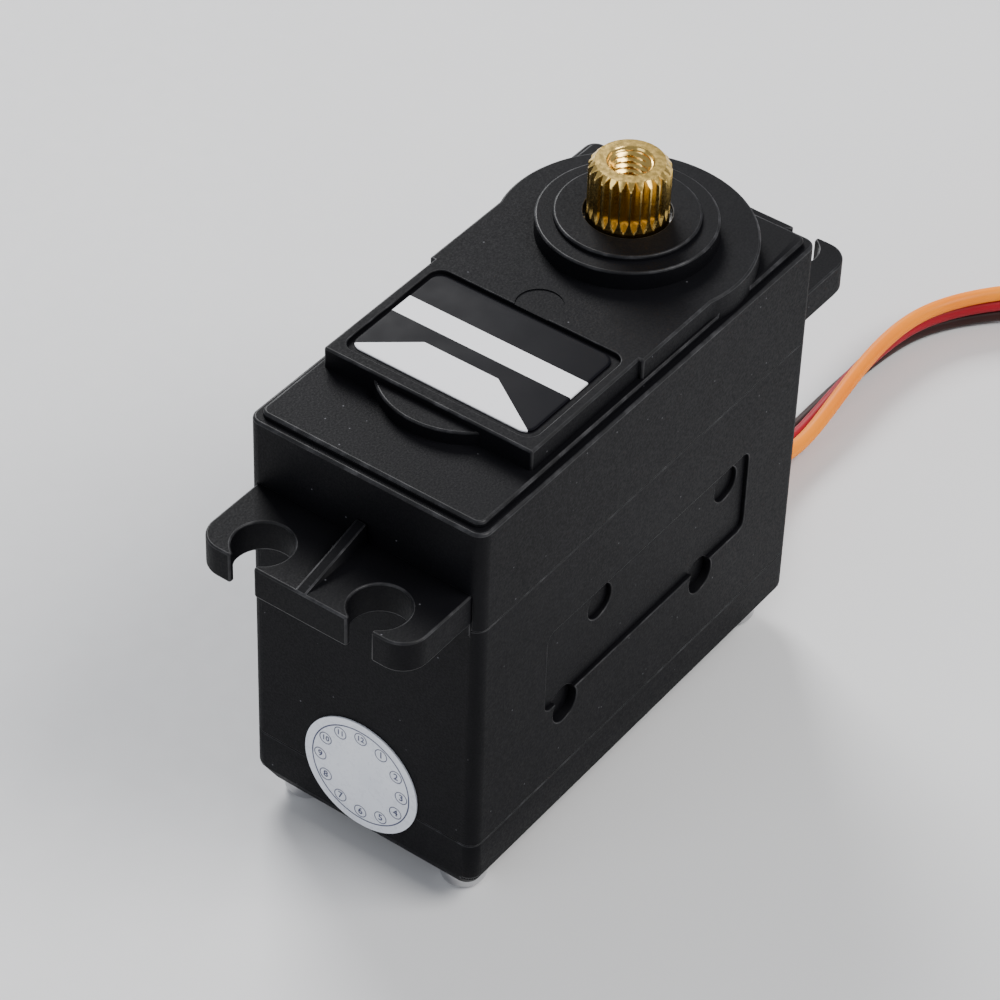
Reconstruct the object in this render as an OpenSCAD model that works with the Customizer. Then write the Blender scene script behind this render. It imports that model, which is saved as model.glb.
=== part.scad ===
// Hobby servo motor, standard size, with a metal gear train and a three-wire lead.
// Millimetres. +Z is up and runs along the output shaft. +X points to the output end.
// The origin is the centre of the footprint, at the undersides of the four case screws.

/* [Case] */
// Length of the case, without the lugs
case_l = 40.4; // [38:0.1:52]
// Width of the case
case_w = 20; // [18:0.1:26]
// Wall of the three case shells
wall = 1.3; // [1:0.05:1.7]
// Radius of the case's upright corners
corner_r = 1; // [0.6:0.1:1.6]
// Height of the bottom cover
cover_h = 4.9; // [4.5:0.1:7]
// From the cover's underside to the top face of the case
face_h = 35.2; // [34.5:0.1:42]
// Width and height of the step round the top face
step = 0.6; // [0.3:0.05:0.9]
// Hairline left where two shells meet
seam = 0.05; // [0.02:0.01:0.15]

/* [Raised deck] */
// Height of the raised deck above the top face
deck_rise = 1.7; // [1.2:0.1:3]
// Half the width of the deck under the label
deck_half_w = 8.85; // [8:0.05:9]
// Half the width of the deck beside the output shaft
deck_wide_half_w = 9.2; // [8.5:0.05:9.3]
// Radius of the deck's round end
deck_end_r = 9.6; // [9.3:0.05:9.8]
// Length of the label recess
label_l = 11; // [8:0.1:12]
// Width of the label recess
label_w = 16.2; // [12:0.1:16.6]
// Depth of the label recess
label_depth = 0.35; // [0.2:0.05:0.5]
// Radius of the half-round bulge at the motor end
bulge_r = 6.5; // [5.5:0.1:7]
// Height of the bulge above the top face
bulge_rise = 1.1; // [0.6:0.1:1.4]

/* [Lugs] */
// Distance from the case's end to the tip of a lug
lug_reach = 6.8; // [6:0.1:9]
// Width of a lug
lug_w = 18.4; // [16.5:0.1:18.8]
// Thickness of a lug
lug_t = 2.6; // [2:0.1:3.2]
// From the seam along the sides up to the top of the lugs
lug_rise = 3.2; // [3:0.1:5]
// Distance between the hole rows of the two lugs
hole_spacing_l = 49.4; // [48:0.1:60]
// Distance between the two holes of one lug
hole_spacing_w = 10; // [9:0.1:11]
// Radius of a lug hole
hole_r = 2.2; // [1.8:0.05:2.64]
// Width of the slot that opens a lug hole to the end
hole_slot_w = 2.1; // [1.6:0.1:2.6]

/* [Output shaft] */
// Distance from the output axis to the case's end
axis_inset = 10; // [9.8:0.1:12]
// Outer radius of the splined end
spline_r = 2.98; // [2.8:0.01:3.2]
// Number of spline teeth
spline_teeth = 25; // [20:1:30]
// From the cover's underside to the tip of the shaft
shaft_top_h = 43.2; // [42:0.1:48]
// Radius of the threaded hole's wall
thread_r = 1.25; // [1:0.05:1.5]
// Depth of the threaded hole
thread_depth = 7.5; // [6:0.1:9]
// Radius of the shaft where its bearings run
journal_r = 3; // [3:0.05:3.3]
// Outer radius of the ball bearing
bearing_r = 5; // [4.8:0.1:6]
// Height of the ball bearing
bearing_h = 3; // [2.5:0.1:3.6]

/* [Gear train] */
// Distance from the centre pin to the output axis
output_centres = 10.5; // [10.5:0.1:10.5]
// Distance from the motor axis to the centre pin
pin_centres = 8.25; // [8.25:0.01:8.25]
// Radius of the two gear pins
pin_r = 0.75; // [0.6:0.05:0.9]
// Running clearance between a gear and its pin
pin_play = 0.04; // [0.02:0.01:0.08]

/* [Motor] */
// Radius of the motor can
can_r = 9.5; // [9:0.1:9.6]
// Radius of the motor shaft
motor_shaft_r = 0.75; // [0.6:0.05:0.9]

/* [Fasteners] */
// Radius of the case screws' shanks
screw_r = 1; // [0.8:0.05:1.2]
// Radius of the case screws' heads
screw_head_r = 1.75; // [1.5:0.05:2.1]
// Height of the case screws' heads, which are the part's feet
screw_head_h = 1.6; // [1.2:0.1:2]
// Distance from the case screws' axes to the sides of the case
screw_inset = 2.8; // [2.6:0.1:3]

/* [Electronics] */
// Thickness of the circuit board
board_t = 1; // [0.8:0.1:1.6]
// Radius of the position sensor
sensor_r = 5.4; // [4.5:0.1:6]

/* [Cable] */
// Diameter of one insulated wire
wire_d = 1.24; // [1:0.02:1.26]
// Distance between neighbouring wires of the ribbon
wire_pitch = 1.27; // [1.27:0.01:1.27]

/* [Hidden] */

case_black = [0.12, 0.12, 0.13];
steel = [0.72, 0.73, 0.75];
brass = [0.83, 0.66, 0.3];
copper = [0.72, 0.42, 0.22];

// Heights above the surface that the screw heads stand on
base_z = screw_head_h;
cover_top_z = base_z + cover_h;
face_z = base_z + face_h;
shoulder_z = face_z - step + 0.1;
deck_z = face_z + deck_rise;
bulge_z = face_z + bulge_rise;
boss_z = deck_z + 1.5;
disc_z = boss_z + 0.4;
shaft_top_z = base_z + shaft_top_h;
roof = 1.2;
face_under_z = face_z - roof;
deck_under_z = deck_z - roof;
overlap = 0.5;

// Places in plan
inner_half_l = case_l / 2 - wall;
inner_half_w = case_w / 2 - wall;
axis_x = case_l / 2 - axis_inset;
pin_x = axis_x - output_centres;
motor_x = pin_x - pin_centres;
lug_tip_x = case_l / 2 + lug_reach;
screw_x = case_l / 2 - screw_inset;
screw_y = case_w / 2 - screw_inset;
label_x = motor_x + 1.75;
deck_end_x = motor_x - 4.7;
deck_jog_x = motor_x + 7.7;

// Ball bearing under the output boss
bearing_top_z = disc_z - 0.9;
bearing_z = bearing_top_z - bearing_h;
bearing_pitch_r = (journal_r + bearing_r) / 2;
ball_r = 0.3 * (bearing_r - journal_r);
groove_r = ball_r + 0.05;
race_t = 0.27 * (bearing_r - journal_r);
ball_count = 9;
boss_r = bearing_r + 1.63;
disc_r = bearing_r + 0.33;
fit = 0.01;

// Gear train: four meshes between the motor and the output shaft
stage_teeth = [[11, 55], [11, 44], [10, 40], [11, 31]];
stage_centres = [pin_centres, pin_centres, pin_centres, output_centres];
function stage_module(i) = 2 * stage_centres[i] / (stage_teeth[i][0] + stage_teeth[i][1]);
pressure_angle = 25;
addendum = 0.9;
dedendum = 1.2;
backlash = 0.06;
function pitch_r(i, k) = stage_module(i) * stage_teeth[i][k] / 2;
function tip_r(i, k) = pitch_r(i, k) + addendum * stage_module(i);

// The gears stand in four layers, from the ball bearing down to the gear floor, which is also the
// height of the seam along the sides
layer_gap = 0.25;
layer_4 = [bearing_z - 3.4, bearing_z - 0.55];
layer_3 = [layer_4[0] - layer_gap - 1.7, layer_4[0] - layer_gap];
layer_2 = [layer_3[0] - layer_gap - 1.35, layer_3[0] - layer_gap];
layer_1 = [layer_2[0] - 1.7, layer_2[0] - 0.45];
gear_floor_z = layer_1[0] - 0.35;
gear_floor_t = 1.8;
side_seam_z = gear_floor_z;
lug_top_z = side_seam_z + lug_rise;
lug_bottom_z = lug_top_z - lug_t;
gear_play = 0.35;
rear_pin_head_z = layer_2[0] - 0.3;
pin_roof = 0.75;
pinion_gap = 0.1;

// Lower bearing of the output shaft
bush_r = journal_r + 1.4;
bush_z = gear_floor_z - 3;
shaft_gap = 0.2;

// Motor
can_top_z = gear_floor_z - gear_floor_t - 0.05;
can_bottom_z = cover_top_z + 1.4;
can_t = 0.8;
can_flat = inner_half_w - 1.2;
hub_r = 3;
hub_top_z = gear_floor_z - 0.4;
motor_bush_r = 2;
bell_h = 1.6;
commutator_r = 1.45;
armature_r = min(can_flat, can_r - 2) - can_t - 0.4;
armature_z = [can_bottom_z + 4.2, can_top_z - 3.6];
arm_w = 2;
shoe = 1.3;
winding_pad = 1.1;
winding_x = [2.6, sqrt(pow(armature_r - shoe - 0.05, 2) - pow(arm_w / 2 + winding_pad, 2))];
motor_screw_y = 4.8;
motor_screw_r = 0.8;

// Position sensor and electronics
board_z = base_z + wall + 1.5;
board_top_z = board_z + board_t;
board_gap = 0.02;
sensor_z = [base_z + 12.8, base_z + 18.7];
shelf_t = 1.2;
shelf_z = sensor_z[1] + 0.1;
sensor_neck_r = 3.2;
sensor_neck_top_z = shelf_z + shelf_t + 0.3;
sensor_shaft_r = 1.5;
shaft_bottom_z = sensor_neck_top_z + 0.7;
socket_top_z = shaft_bottom_z + 2.6;
lead_pitch = 2.5;
lead_r = 0.35;

// Cable outlet, half in the bottom cover and half in the middle case
outlet_z = cover_top_z;
outlet_half_w = 3;
outlet_half_h = 1.5;
grommet_tip_x = case_l / 2 + 2.5;
slot_half_w = wire_pitch + wire_d / 2 + 0.06;
slot_half_h = wire_d / 2 + 0.06;

// Centreline of the ribbon, from the board to the hank: x from the case's end wall, y, z, and its roll
// in degrees. At a roll of 180 the ribbon lies flat with the signal wire on the -Y side. At 90 it
// stands on its edge with the signal wire on top.
cable_x = case_l / 2;
cable_route = [
    [-6.7, 0, outlet_z - 0.2, 180], [-3.7, 0, outlet_z, 180], [-0.7, 0, outlet_z, 180],
    [2.5, 0, outlet_z, 180], [4.6, 0, outlet_z - 0.4, 179], [6.8, 0, 5, 176], [9.3, 0, 3.5, 170],
    [12.3, -0.2, 2.1, 161], [15.8, -0.4, 1.4, 150], [19.8, -0.3, 1.5, 138], [23.8, -0.1, 1.7, 126],
    [27.8, 0, 1.8, 115], [31.3, -0.2, 1.9, 108], [34.6, -0.8, 1.9, 104], [37.6, -2.1, 1.9, 101],
    [40.3, -4.1, 2, 98], [43, -6.6, 2.1, 95], [46.2, -9.3, 2.2, 92], [49.8, -11.9, 2.3, 90],
    [53.8, -13.8, 2.4, 90], [58.3, -14.75, 2.4, 90],
];
tube_sides = 8;

// Hank: the put-away length of the cable, wound in long turns and tied round its middle
hank_y = -7;
hank_x = [cable_x + 61.8, cable_x + 83.8];
hank_turn_r = 7.9;
hank_r = hank_turn_r + 0.65;
hank_z = [0.5, 4.4];
pocket_half_w = 4.4;
pocket_x = [cable_x + 71, cable_x + 86];
tie_x = cable_x + 66.3;
tie_w = 2.5;
tie_t = 0.5;

// Plug: three contacts in a row
plug_pitch = 2.54;
plug_l = 14;
plug_x = pocket_x[0] + 0.05;

// ---------------------------------------------------------------- shared shapes

module rounded_rect(l, w, r) {
    square([l - 2 * r, w], center = true);
    square([l, w - 2 * r], center = true);
    for (x = [-1, 1], y = [-1, 1])
        translate([x * (l / 2 - r), y * (w / 2 - r)]) circle(r);
}

module slab(l, w, r, z0, z1) {
    translate([0, 0, z0]) linear_extrude(z1 - z0) rounded_rect(l, w, r);
}

// A round bar from z0 to z1 at one place in plan
module bar(x, y, r, z0, z1) {
    translate([x, y, z0]) cylinder(r = r, h = z1 - z0);
}

// A block between two corners
module block(low, high) {
    translate(low) cube(high - low);
}

module ring(x, y, outer, inner, z0, z1) {
    difference() {
        bar(x, y, outer, z0, z1);
        bar(x, y, inner, z0 - 1, z1 + 1);
    }
}

module at_case_screws() {
    for (x = [-1, 1], y = [-1, 1]) translate([x * screw_x, y * screw_y, 0]) children();
}

// Outline of the raised deck, with a margin taken off all round
module deck_outline(margin = 0) {
    translate([deck_end_x + margin, -deck_half_w + margin])
        square([deck_jog_x - deck_end_x + 0.1, 2 * (deck_half_w - margin)]);
    translate([deck_jog_x + margin, -deck_wide_half_w + margin])
        square([axis_x - deck_jog_x - margin, 2 * (deck_wide_half_w - margin)]);
    translate([axis_x, 0]) circle(deck_end_r - margin);
}

// ---------------------------------------------------------------- gears

function involute(a) = tan(a) * 180 / PI - a;

// Half the angle that a tooth takes at radius r
function tooth_half_angle(r, pitch, n) =
    90 / n - backlash / pitch * 90 / PI
    + involute(pressure_angle) - involute(acos(min(1, pitch * cos(pressure_angle) / r)));

function gear_points(n, m) =
    let (pitch = n * m / 2, base = pitch * cos(pressure_angle),
         root = pitch - dedendum * m, tip = pitch + addendum * m,
         start = max(base, root + 0.02),
         radii = [root, start, start + (tip - start) * 0.4, tip])
    [for (i = [0:n - 1], side = [-1, 1], k = [0:3])
        let (r = side < 0 ? radii[k] : radii[3 - k],
             a = i * 360 / n + side * tooth_half_angle(max(r, start), pitch, n))
        [r * cos(a), r * sin(a)]];

// Toothed wheel k of mesh i. It has a tooth on its +X side, or a gap on its -X side if gap is true.
module toothed(i, k, gap, z0, z1) {
    n = stage_teeth[i][k];
    translate([0, 0, z0])
        rotate([0, 0, gap ? 180 + 180 / n : 0])
            linear_extrude(z1 - z0) polygon(gear_points(n, stage_module(i)));
}

// ---------------------------------------------------------------- case

module label_recess(z0, z1, gap) {
    translate([label_x, 0, 0]) slab(label_l - 2 * gap, label_w - 2 * gap, 1, z0, z1);
}

module case_column(z0, z1) {
    at_case_screws() bar(0, 0, screw_r + 0.9, z0, z1);
}

module top_shell() {
    difference() {
        union() {
            slab(case_l, case_w, corner_r, side_seam_z, shoulder_z);
            slab(case_l - 2 * step, case_w - 2 * step, corner_r * 0.7, shoulder_z - overlap, face_z);
            translate([0, 0, face_z - overlap]) linear_extrude(deck_rise + overlap) deck_outline();
            bar(motor_x, 0, bulge_r, face_z - overlap, bulge_z);
            bar(axis_x, 0, boss_r, deck_z - overlap, boss_z);
            bar(axis_x, 0, disc_r, boss_z - overlap, disc_z);
        }
        slab(2 * inner_half_l, 2 * inner_half_w, corner_r * 0.5, side_seam_z - 1, face_under_z);
        translate([0, 0, face_under_z - overlap])
            linear_extrude(deck_under_z - face_under_z + overlap) deck_outline(wall);
        bar(motor_x, 0, bulge_r - 1, face_under_z - overlap, bulge_z - 1);
        label_recess(deck_z - label_depth, deck_z + 1, 0);
    }
}

module top_bosses() {
    difference() {
        case_column(side_seam_z, face_under_z + overlap);
        bar(axis_x, 0, tip_r(3, 1) + gear_play, side_seam_z - 1, face_under_z);
    }
    bar(motor_x, 0, pin_r + 1.25, layer_3[1] + layer_gap, deck_under_z + overlap);
    bar(pin_x, 0, pin_r + 1.05, layer_4[1] + layer_gap, deck_under_z + overlap);
    ring(axis_x, 0, boss_r, bearing_r - overlap, bearing_z, deck_under_z + overlap);
}

module top_case() {
    color(case_black) difference() {
        union() {
            top_shell();
            top_bosses();
        }
        bar(axis_x, 0, bearing_r + fit, bearing_z - 1, bearing_top_z);
        bar(axis_x, 0, journal_r + shaft_gap, bearing_z, disc_z + 1);
        bar(motor_x, 0, pin_r + fit, layer_3[1], bulge_z - pin_roof);
        bar(pin_x, 0, pin_r + fit, layer_4[1], deck_z - pin_roof);
        at_case_screws() bar(0, 0, screw_r + 0.02, side_seam_z - 1, side_seam_z + 6.5);
        for (x = [-1, 1]) block_at_end(x, lug_w / 2 + seam, side_seam_z - 1, lug_top_z + seam);
        bar(pin_x, 0, 1.75, deck_z - 0.08, deck_z + 1);
    }
}

// The end wall's share of the case, |y| up to half_w, at the +X or -X end
module block_at_end(side, half_w, z0, z1) {
    low = case_l / 2 - wall;
    scale([side, 1, 1]) block([low - 0.1, -half_w, z0], [case_l / 2 + 1, half_w, z1]);
}

module lug_outline() {
    tip_round = 2;
    mouth = [hole_spacing_w / 2 - hole_slot_w / 2, hole_spacing_w / 2 + hole_slot_w / 2];
    difference() {
        union() {
            translate([case_l / 2 - wall, -lug_w / 2])
                square([lug_reach + wall - tip_round, lug_w]);
            translate([case_l / 2, -lug_w / 2 + tip_round])
                square([lug_reach, lug_w - 2 * tip_round]);
            for (y = [-1, 1])
                translate([lug_tip_x - tip_round, y * (lug_w / 2 - tip_round)]) circle(tip_round);
        }
        for (y = [-1, 1]) {
            translate([hole_spacing_l / 2, y * hole_spacing_w / 2]) circle(hole_r);
            translate([hole_spacing_l / 2, y * hole_spacing_w / 2 - hole_slot_w / 2])
                square([lug_reach, hole_slot_w]);
        }
    }
}

module lug_rib() {
    rib_t = 0.9;
    rib_h = 1.7;
    root_x = case_l / 2 + seam;
    translate([0, rib_t / 2, 0]) rotate([90, 0, 0]) linear_extrude(rib_t)
        polygon([[root_x, lug_top_z - overlap], [lug_tip_x, lug_top_z - overlap],
                 [lug_tip_x, lug_top_z], [root_x, lug_top_z + rib_h]]);
}

// One lug, with the tongue that fills the notch in the top case's end wall
module lug() {
    translate([0, 0, lug_bottom_z]) linear_extrude(lug_t) lug_outline();
    block([case_l / 2 - wall, -lug_w / 2, side_seam_z - overlap], [case_l / 2, lug_w / 2, lug_top_z]);
    lug_rib();
}

module side_panel() {
    panel_x = [-12, 13.2];
    panel_z = [13.6, 21.2];
    depth = 0.35;
    round_r = 0.8;
    face_y = -case_w / 2;
    translate([(panel_x[0] + panel_x[1]) / 2, face_y + depth, (panel_z[0] + panel_z[1]) / 2])
        rotate([90, 0, 0]) linear_extrude(2)
            rounded_rect(panel_x[1] - panel_x[0], panel_z[1] - panel_z[0], round_r);
    for (p = [[-9.5, 12.7], [7.6, 12.7], [-5.2, 19.4], [10.7, 19.4]])
        translate([p[0], face_y + depth + 0.4, p[1]]) rotate([90, 0, 0]) cylinder(r = 1.45, h = 2);
}

module middle_shell() {
    difference() {
        slab(case_l, case_w, corner_r, cover_top_z + seam, side_seam_z - seam);
        slab(2 * inner_half_l, 2 * inner_half_w, corner_r * 0.5, cover_top_z - 1, gear_floor_z - gear_floor_t);
        side_panel();
    }
    lug();
    mirror([1, 0, 0]) lug();
}

// The motor's outline in plan, grown by a margin
module can_outline(margin) {
    intersection() {
        circle(can_r + margin);
        square([2 * can_r + 2, 2 * (can_flat + margin)], center = true);
    }
}

module middle_inside() {
    difference() {
        case_column(cover_top_z + seam, gear_floor_z - overlap);
        translate([motor_x, 0, 0]) linear_extrude(gear_floor_z - gear_floor_t) can_outline(0.3);
        bar(axis_x, 0, sensor_r + 0.2, cover_top_z, shelf_z);
    }
    block([axis_x - sensor_r - 1, -inner_half_w - overlap, shelf_z],
          [inner_half_l + overlap, inner_half_w + overlap, shelf_z + shelf_t]);
    bar(axis_x, 0, bush_r + 1.2, bush_z, gear_floor_z - overlap);
}

module middle_case() {
    color(case_black) difference() {
        union() {
            middle_shell();
            middle_inside();
        }
        at_case_screws() bar(0, 0, screw_r + 0.1, 0, side_seam_z + 1);
        bar(axis_x, 0, bush_r + fit, bush_z - 1, gear_floor_z + 1);
        bar(axis_x, 0, sensor_neck_r + fit, shelf_z - 1, shelf_z + shelf_t + 1);
        bar(motor_x, 0, hub_r + 0.1, gear_floor_z - 3, gear_floor_z + 1);
        bar(pin_x, 0, pin_r + fit, gear_floor_z - gear_floor_t + 0.3, gear_floor_z + 1);
        for (y = [-1, 1]) {
            bar(motor_x, y * motor_screw_y, motor_screw_r + 0.05, gear_floor_z - 3, gear_floor_z + 1);
            bar(motor_x, y * motor_screw_y, 2 * motor_screw_r + 0.1, gear_floor_z - 0.9, gear_floor_z + 1);
        }
        cable_outlet();
    }
}

module cable_outlet() {
    block([inner_half_l - 1, -outlet_half_w, outlet_z - outlet_half_h],
          [case_l / 2 + 1, outlet_half_w, outlet_z + outlet_half_h]);
}

module bottom_cover() {
    edge = 0.8;
    color(case_black) difference() {
        union() {
            difference() {
                union() {
                    slab(case_l, case_w, corner_r, base_z + 1.5, cover_top_z);
                    hull() {
                        slab(case_l, case_w, corner_r, base_z + 1.5, base_z + 1.6, $fn = 32);
                        slab(case_l - 2 * edge, case_w - 2 * edge, corner_r, base_z, base_z + 0.1, $fn = 32);
                    }
                }
                slab(2 * inner_half_l, 2 * inner_half_w, corner_r * 0.5, base_z + wall, cover_top_z + 1);
            }
            case_column(base_z + 0.5, board_z - 0.05);
            for (x = [-1, 1], y = [-1, 1]) bar(x * 8, y * 5, 1, base_z + 0.5, board_z - 0.05);
        }
        at_case_screws() bar(0, 0, screw_r + 0.1, 0, cover_top_z + 1);
        cable_outlet();
    }
}

module case_screws() {
    recess_r = 0.75;
    color(steel) at_case_screws() difference() {
        union() {
            bar(0, 0, screw_head_r, 0.35, screw_head_h);
            translate([0, 0, 0]) cylinder(r1 = screw_head_r - 0.35, r2 = screw_head_r, h = 0.35);
            bar(0, 0, screw_r, screw_head_h - 0.1, side_seam_z + 6);
        }
        for (a = [0, 90]) rotate([0, 0, a])
            block([-recess_r, -0.2, -1], [recess_r, 0.2, 0.9]);
    }
}

module top_label() {
    color([0.05, 0.05, 0.06]) label_recess(deck_z - label_depth + 0.01, deck_z - label_depth + 0.16, 0.2);
}

module end_label() {
    label_r = 5.05;
    thick = 0.12;
    color([0.93, 0.94, 0.95]) translate([-case_l / 2 - thick - 0.01, 0, base_z + 6.3])
        rotate([0, 90, 0]) cylinder(r = label_r, h = thick);
}

module cable_grommet() {
    neck = outlet_half_h - 0.04;
    half_w = outlet_half_w - 0.05;
    color([0.07, 0.07, 0.08]) difference() {
        union() {
            block([inner_half_l - 0.1, -half_w, outlet_z - neck], [case_l / 2 + 0.1, half_w, outlet_z + neck]);
            block([inner_half_l - 1, -half_w - 0.6, outlet_z - neck - 0.1],
                  [inner_half_l - 0.05, half_w + 0.6, outlet_z + neck + 0.6]);
            hull() {
                block([case_l / 2 + 0.05, -half_w, outlet_z - neck - 0.3],
                      [case_l / 2 + 0.25, half_w, outlet_z + neck + 0.3]);
                block([grommet_tip_x - 0.2, -half_w + 0.6, outlet_z - neck + 0.4],
                      [grommet_tip_x, half_w - 0.6, outlet_z + neck - 0.4]);
            }
        }
        block([inner_half_l - 3, -slot_half_w, outlet_z - slot_half_h],
              [grommet_tip_x + 1, slot_half_w, outlet_z + slot_half_h]);
    }
}

// ---------------------------------------------------------------- motor, standing part

module in_motor() {
    translate([motor_x, 0, 0]) children();
}

module motor_can() {
    color(steel) in_motor() difference() {
        union() {
            translate([0, 0, can_bottom_z]) linear_extrude(can_top_z - can_bottom_z) can_outline(0);
            bar(0, 0, hub_r, can_top_z - overlap, hub_top_z);
        }
        translate([0, 0, can_bottom_z - 1])
            linear_extrude(can_top_z - can_bottom_z - can_t + 1) can_outline(-can_t);
        bar(0, 0, motor_bush_r, can_top_z - 3, hub_top_z + 1);
        for (y = [-1, 1]) bar(0, y * motor_screw_y, motor_screw_r + 0.01, can_top_z - 2, can_top_z + 1);
    }
}

module motor_magnets() {
    outer = can_r - can_t - 0.05;
    inner = armature_r + 0.35;
    half_angle = 36;
    color([0.25, 0.25, 0.27]) in_motor() for (a = [0, 180])
        translate([0, 0, armature_z[0] - 0.5]) rotate([0, 0, a - half_angle])
            rotate_extrude(angle = 2 * half_angle)
                translate([inner, 0]) square([outer - inner, armature_z[1] - armature_z[0] + 1]);
}

module motor_front_bush() {
    color(brass) in_motor()
        ring(0, 0, motor_bush_r - fit, motor_shaft_r + 0.03, can_top_z - can_t, hub_top_z);
}

module motor_end_bell() {
    color([0.9, 0.88, 0.8]) in_motor() difference() {
        union() {
            translate([0, 0, can_bottom_z - bell_h]) linear_extrude(bell_h - 0.02) can_outline(-0.15);
            translate([0, 0, can_bottom_z - 0.5]) linear_extrude(1.3) can_outline(-can_t - 0.05);
        }
        bar(0, 0, 1.5, can_bottom_z - bell_h - 1, can_bottom_z + 2);
    }
}

module motor_rear_bush() {
    color(brass) in_motor()
        ring(0, 0, 1.5 - fit, motor_shaft_r + 0.03, can_bottom_z - bell_h + 0.2, can_bottom_z + 0.7);
}

module motor_brushes() {
    color([0.3, 0.28, 0.26]) in_motor() for (s = [-1, 1]) scale([1, s, 1])
        block([-0.7, commutator_r + 0.05, can_bottom_z + 0.82], [0.7, commutator_r + 1.6, can_bottom_z + 2.6]);
}

module motor_terminals() {
    color(brass) in_motor() for (s = [-1, 1])
        block([s * 5 - 0.8, -0.2, board_top_z + board_gap], [s * 5 + 0.8, 0.2, can_bottom_z - bell_h - 0.01]);
}

module motor_screws() {
    top = gear_floor_z - 0.05;
    color(steel) in_motor() for (y = [-1, 1]) translate([0, y * motor_screw_y, 0]) difference() {
        union() {
            bar(0, 0, 2 * motor_screw_r, top - 0.8, top);
            bar(0, 0, motor_screw_r, can_top_z - can_t - 0.6, top - 0.4);
        }
        block([-1.1, -0.2, top - 0.35], [1.1, 0.2, top + 1]);
    }
}

// ---------------------------------------------------------------- motor, turning part

module motor_shaft() {
    color(steel) in_motor() bar(0, 0, motor_shaft_r, can_bottom_z - bell_h + 0.3, layer_1[1]);
}

module motor_pinion() {
    color(brass) in_motor() difference() {
        toothed(0, 0, false, layer_1[0] - 0.2, layer_1[1]);
        bar(0, 0, motor_shaft_r + fit, layer_1[0] - 1, layer_1[1] + 1);
    }
}

module armature_core() {
    color([0.5, 0.5, 0.52]) in_motor() translate([0, 0, armature_z[0]])
        linear_extrude(armature_z[1] - armature_z[0]) difference() {
            union() {
                circle(2.2);
                for (a = [0, 120, 240]) rotate([0, 0, a + 30]) {
                    translate([0, -arm_w / 2]) square([armature_r - 0.6, arm_w]);
                    intersection() {
                        difference() {
                            circle(armature_r);
                            circle(armature_r - shoe);
                        }
                        polygon([[0, 0], [9, -12], [14, 0], [9, 12]]);
                    }
                }
            }
            circle(motor_shaft_r + fit);
        }
}

module armature_windings() {
    half_w = arm_w / 2 + winding_pad;
    gap = 0.02;
    color(copper) in_motor() for (a = [0, 120, 240]) rotate([0, 0, a + 30]) difference() {
        block([winding_x[0], -half_w, armature_z[0] - winding_pad],
              [winding_x[1], half_w, armature_z[1] + winding_pad]);
        block([0, -arm_w / 2 - gap, armature_z[0] - gap], [armature_r, arm_w / 2 + gap, armature_z[1] + gap]);
    }
}

module commutator() {
    color(copper) in_motor()
        ring(0, 0, commutator_r, motor_shaft_r + fit, can_bottom_z + 0.9, armature_z[0] - 0.05);
}

// ---------------------------------------------------------------- gear train

module centre_pin() {
    color(steel) bar(pin_x, 0, pin_r, gear_floor_z - gear_floor_t + 0.35, deck_z - pin_roof - 0.05);
}

module rear_pin() {
    color(steel) in_motor() {
        bar(0, 0, pin_r, rear_pin_head_z, bulge_z - pin_roof - 0.05);
        bar(0, 0, pin_r + 0.65, rear_pin_head_z, layer_2[0] - pinion_gap);
    }
}

// A wheel and a pinion in one piece, running on a pin. The wheel's underside has a shallow ring groove.
module compound_gear(place_x, wheel, pinion, layer, pinion_top_z, wheel_gap) {
    groove = 0.35;
    translate([place_x, 0, 0]) difference() {
        union() {
            toothed(wheel, 1, wheel_gap, layer[0], layer[1]);
            toothed(pinion, 0, false, layer[1] - overlap, pinion_top_z);
        }
        bar(0, 0, pin_r + pin_play, layer[0] - 1, pinion_top_z + 1);
        ring(0, 0, pitch_r(wheel, 1) - 1.6, pitch_r(pinion, 0) + 1.5, layer[0] - 1, layer[0] + groove);
    }
}

module first_gear() {
    color(brass) compound_gear(pin_x, 0, 1, layer_1, layer_2[1] - pinion_gap, true);
}

module second_gear() {
    color(steel) compound_gear(motor_x, 1, 2, layer_2, layer_3[1], false);
}

module third_gear() {
    color(brass) compound_gear(pin_x, 2, 3, layer_3, layer_4[1], true);
}

function spline_points() = [
    for (i = [0:spline_teeth - 1], p = [[-0.42, 0], [-0.18, 1], [0.18, 1], [0.42, 0]])
        let (r = spline_r - 0.36 * (1 - p[1]), a = (i + p[0]) * 360 / spline_teeth)
        [r * cos(a), r * sin(a)]
];

module spline(z0, z1) {
    bevel = 0.35;
    intersection() {
        translate([0, 0, z0]) linear_extrude(z1 - z0) polygon(spline_points());
        union() {
            bar(0, 0, spline_r + 0.1, z0, z1 - bevel);
            translate([0, 0, z1 - bevel])
                cylinder(r1 = spline_r + 0.1, r2 = spline_r + 0.1 - 1.2 * bevel, h = bevel);
        }
    }
}

// A round bar with one flat, like the sensor's shaft
module d_bar(r, flat, z0, z1) {
    translate([0, 0, z0]) linear_extrude(z1 - z0) intersection() {
        circle(r);
        translate([-r - 1, -r - 1]) square([r + 1 + flat, 2 * r + 2]);
    }
}
d_flat = 0.9;

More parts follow.
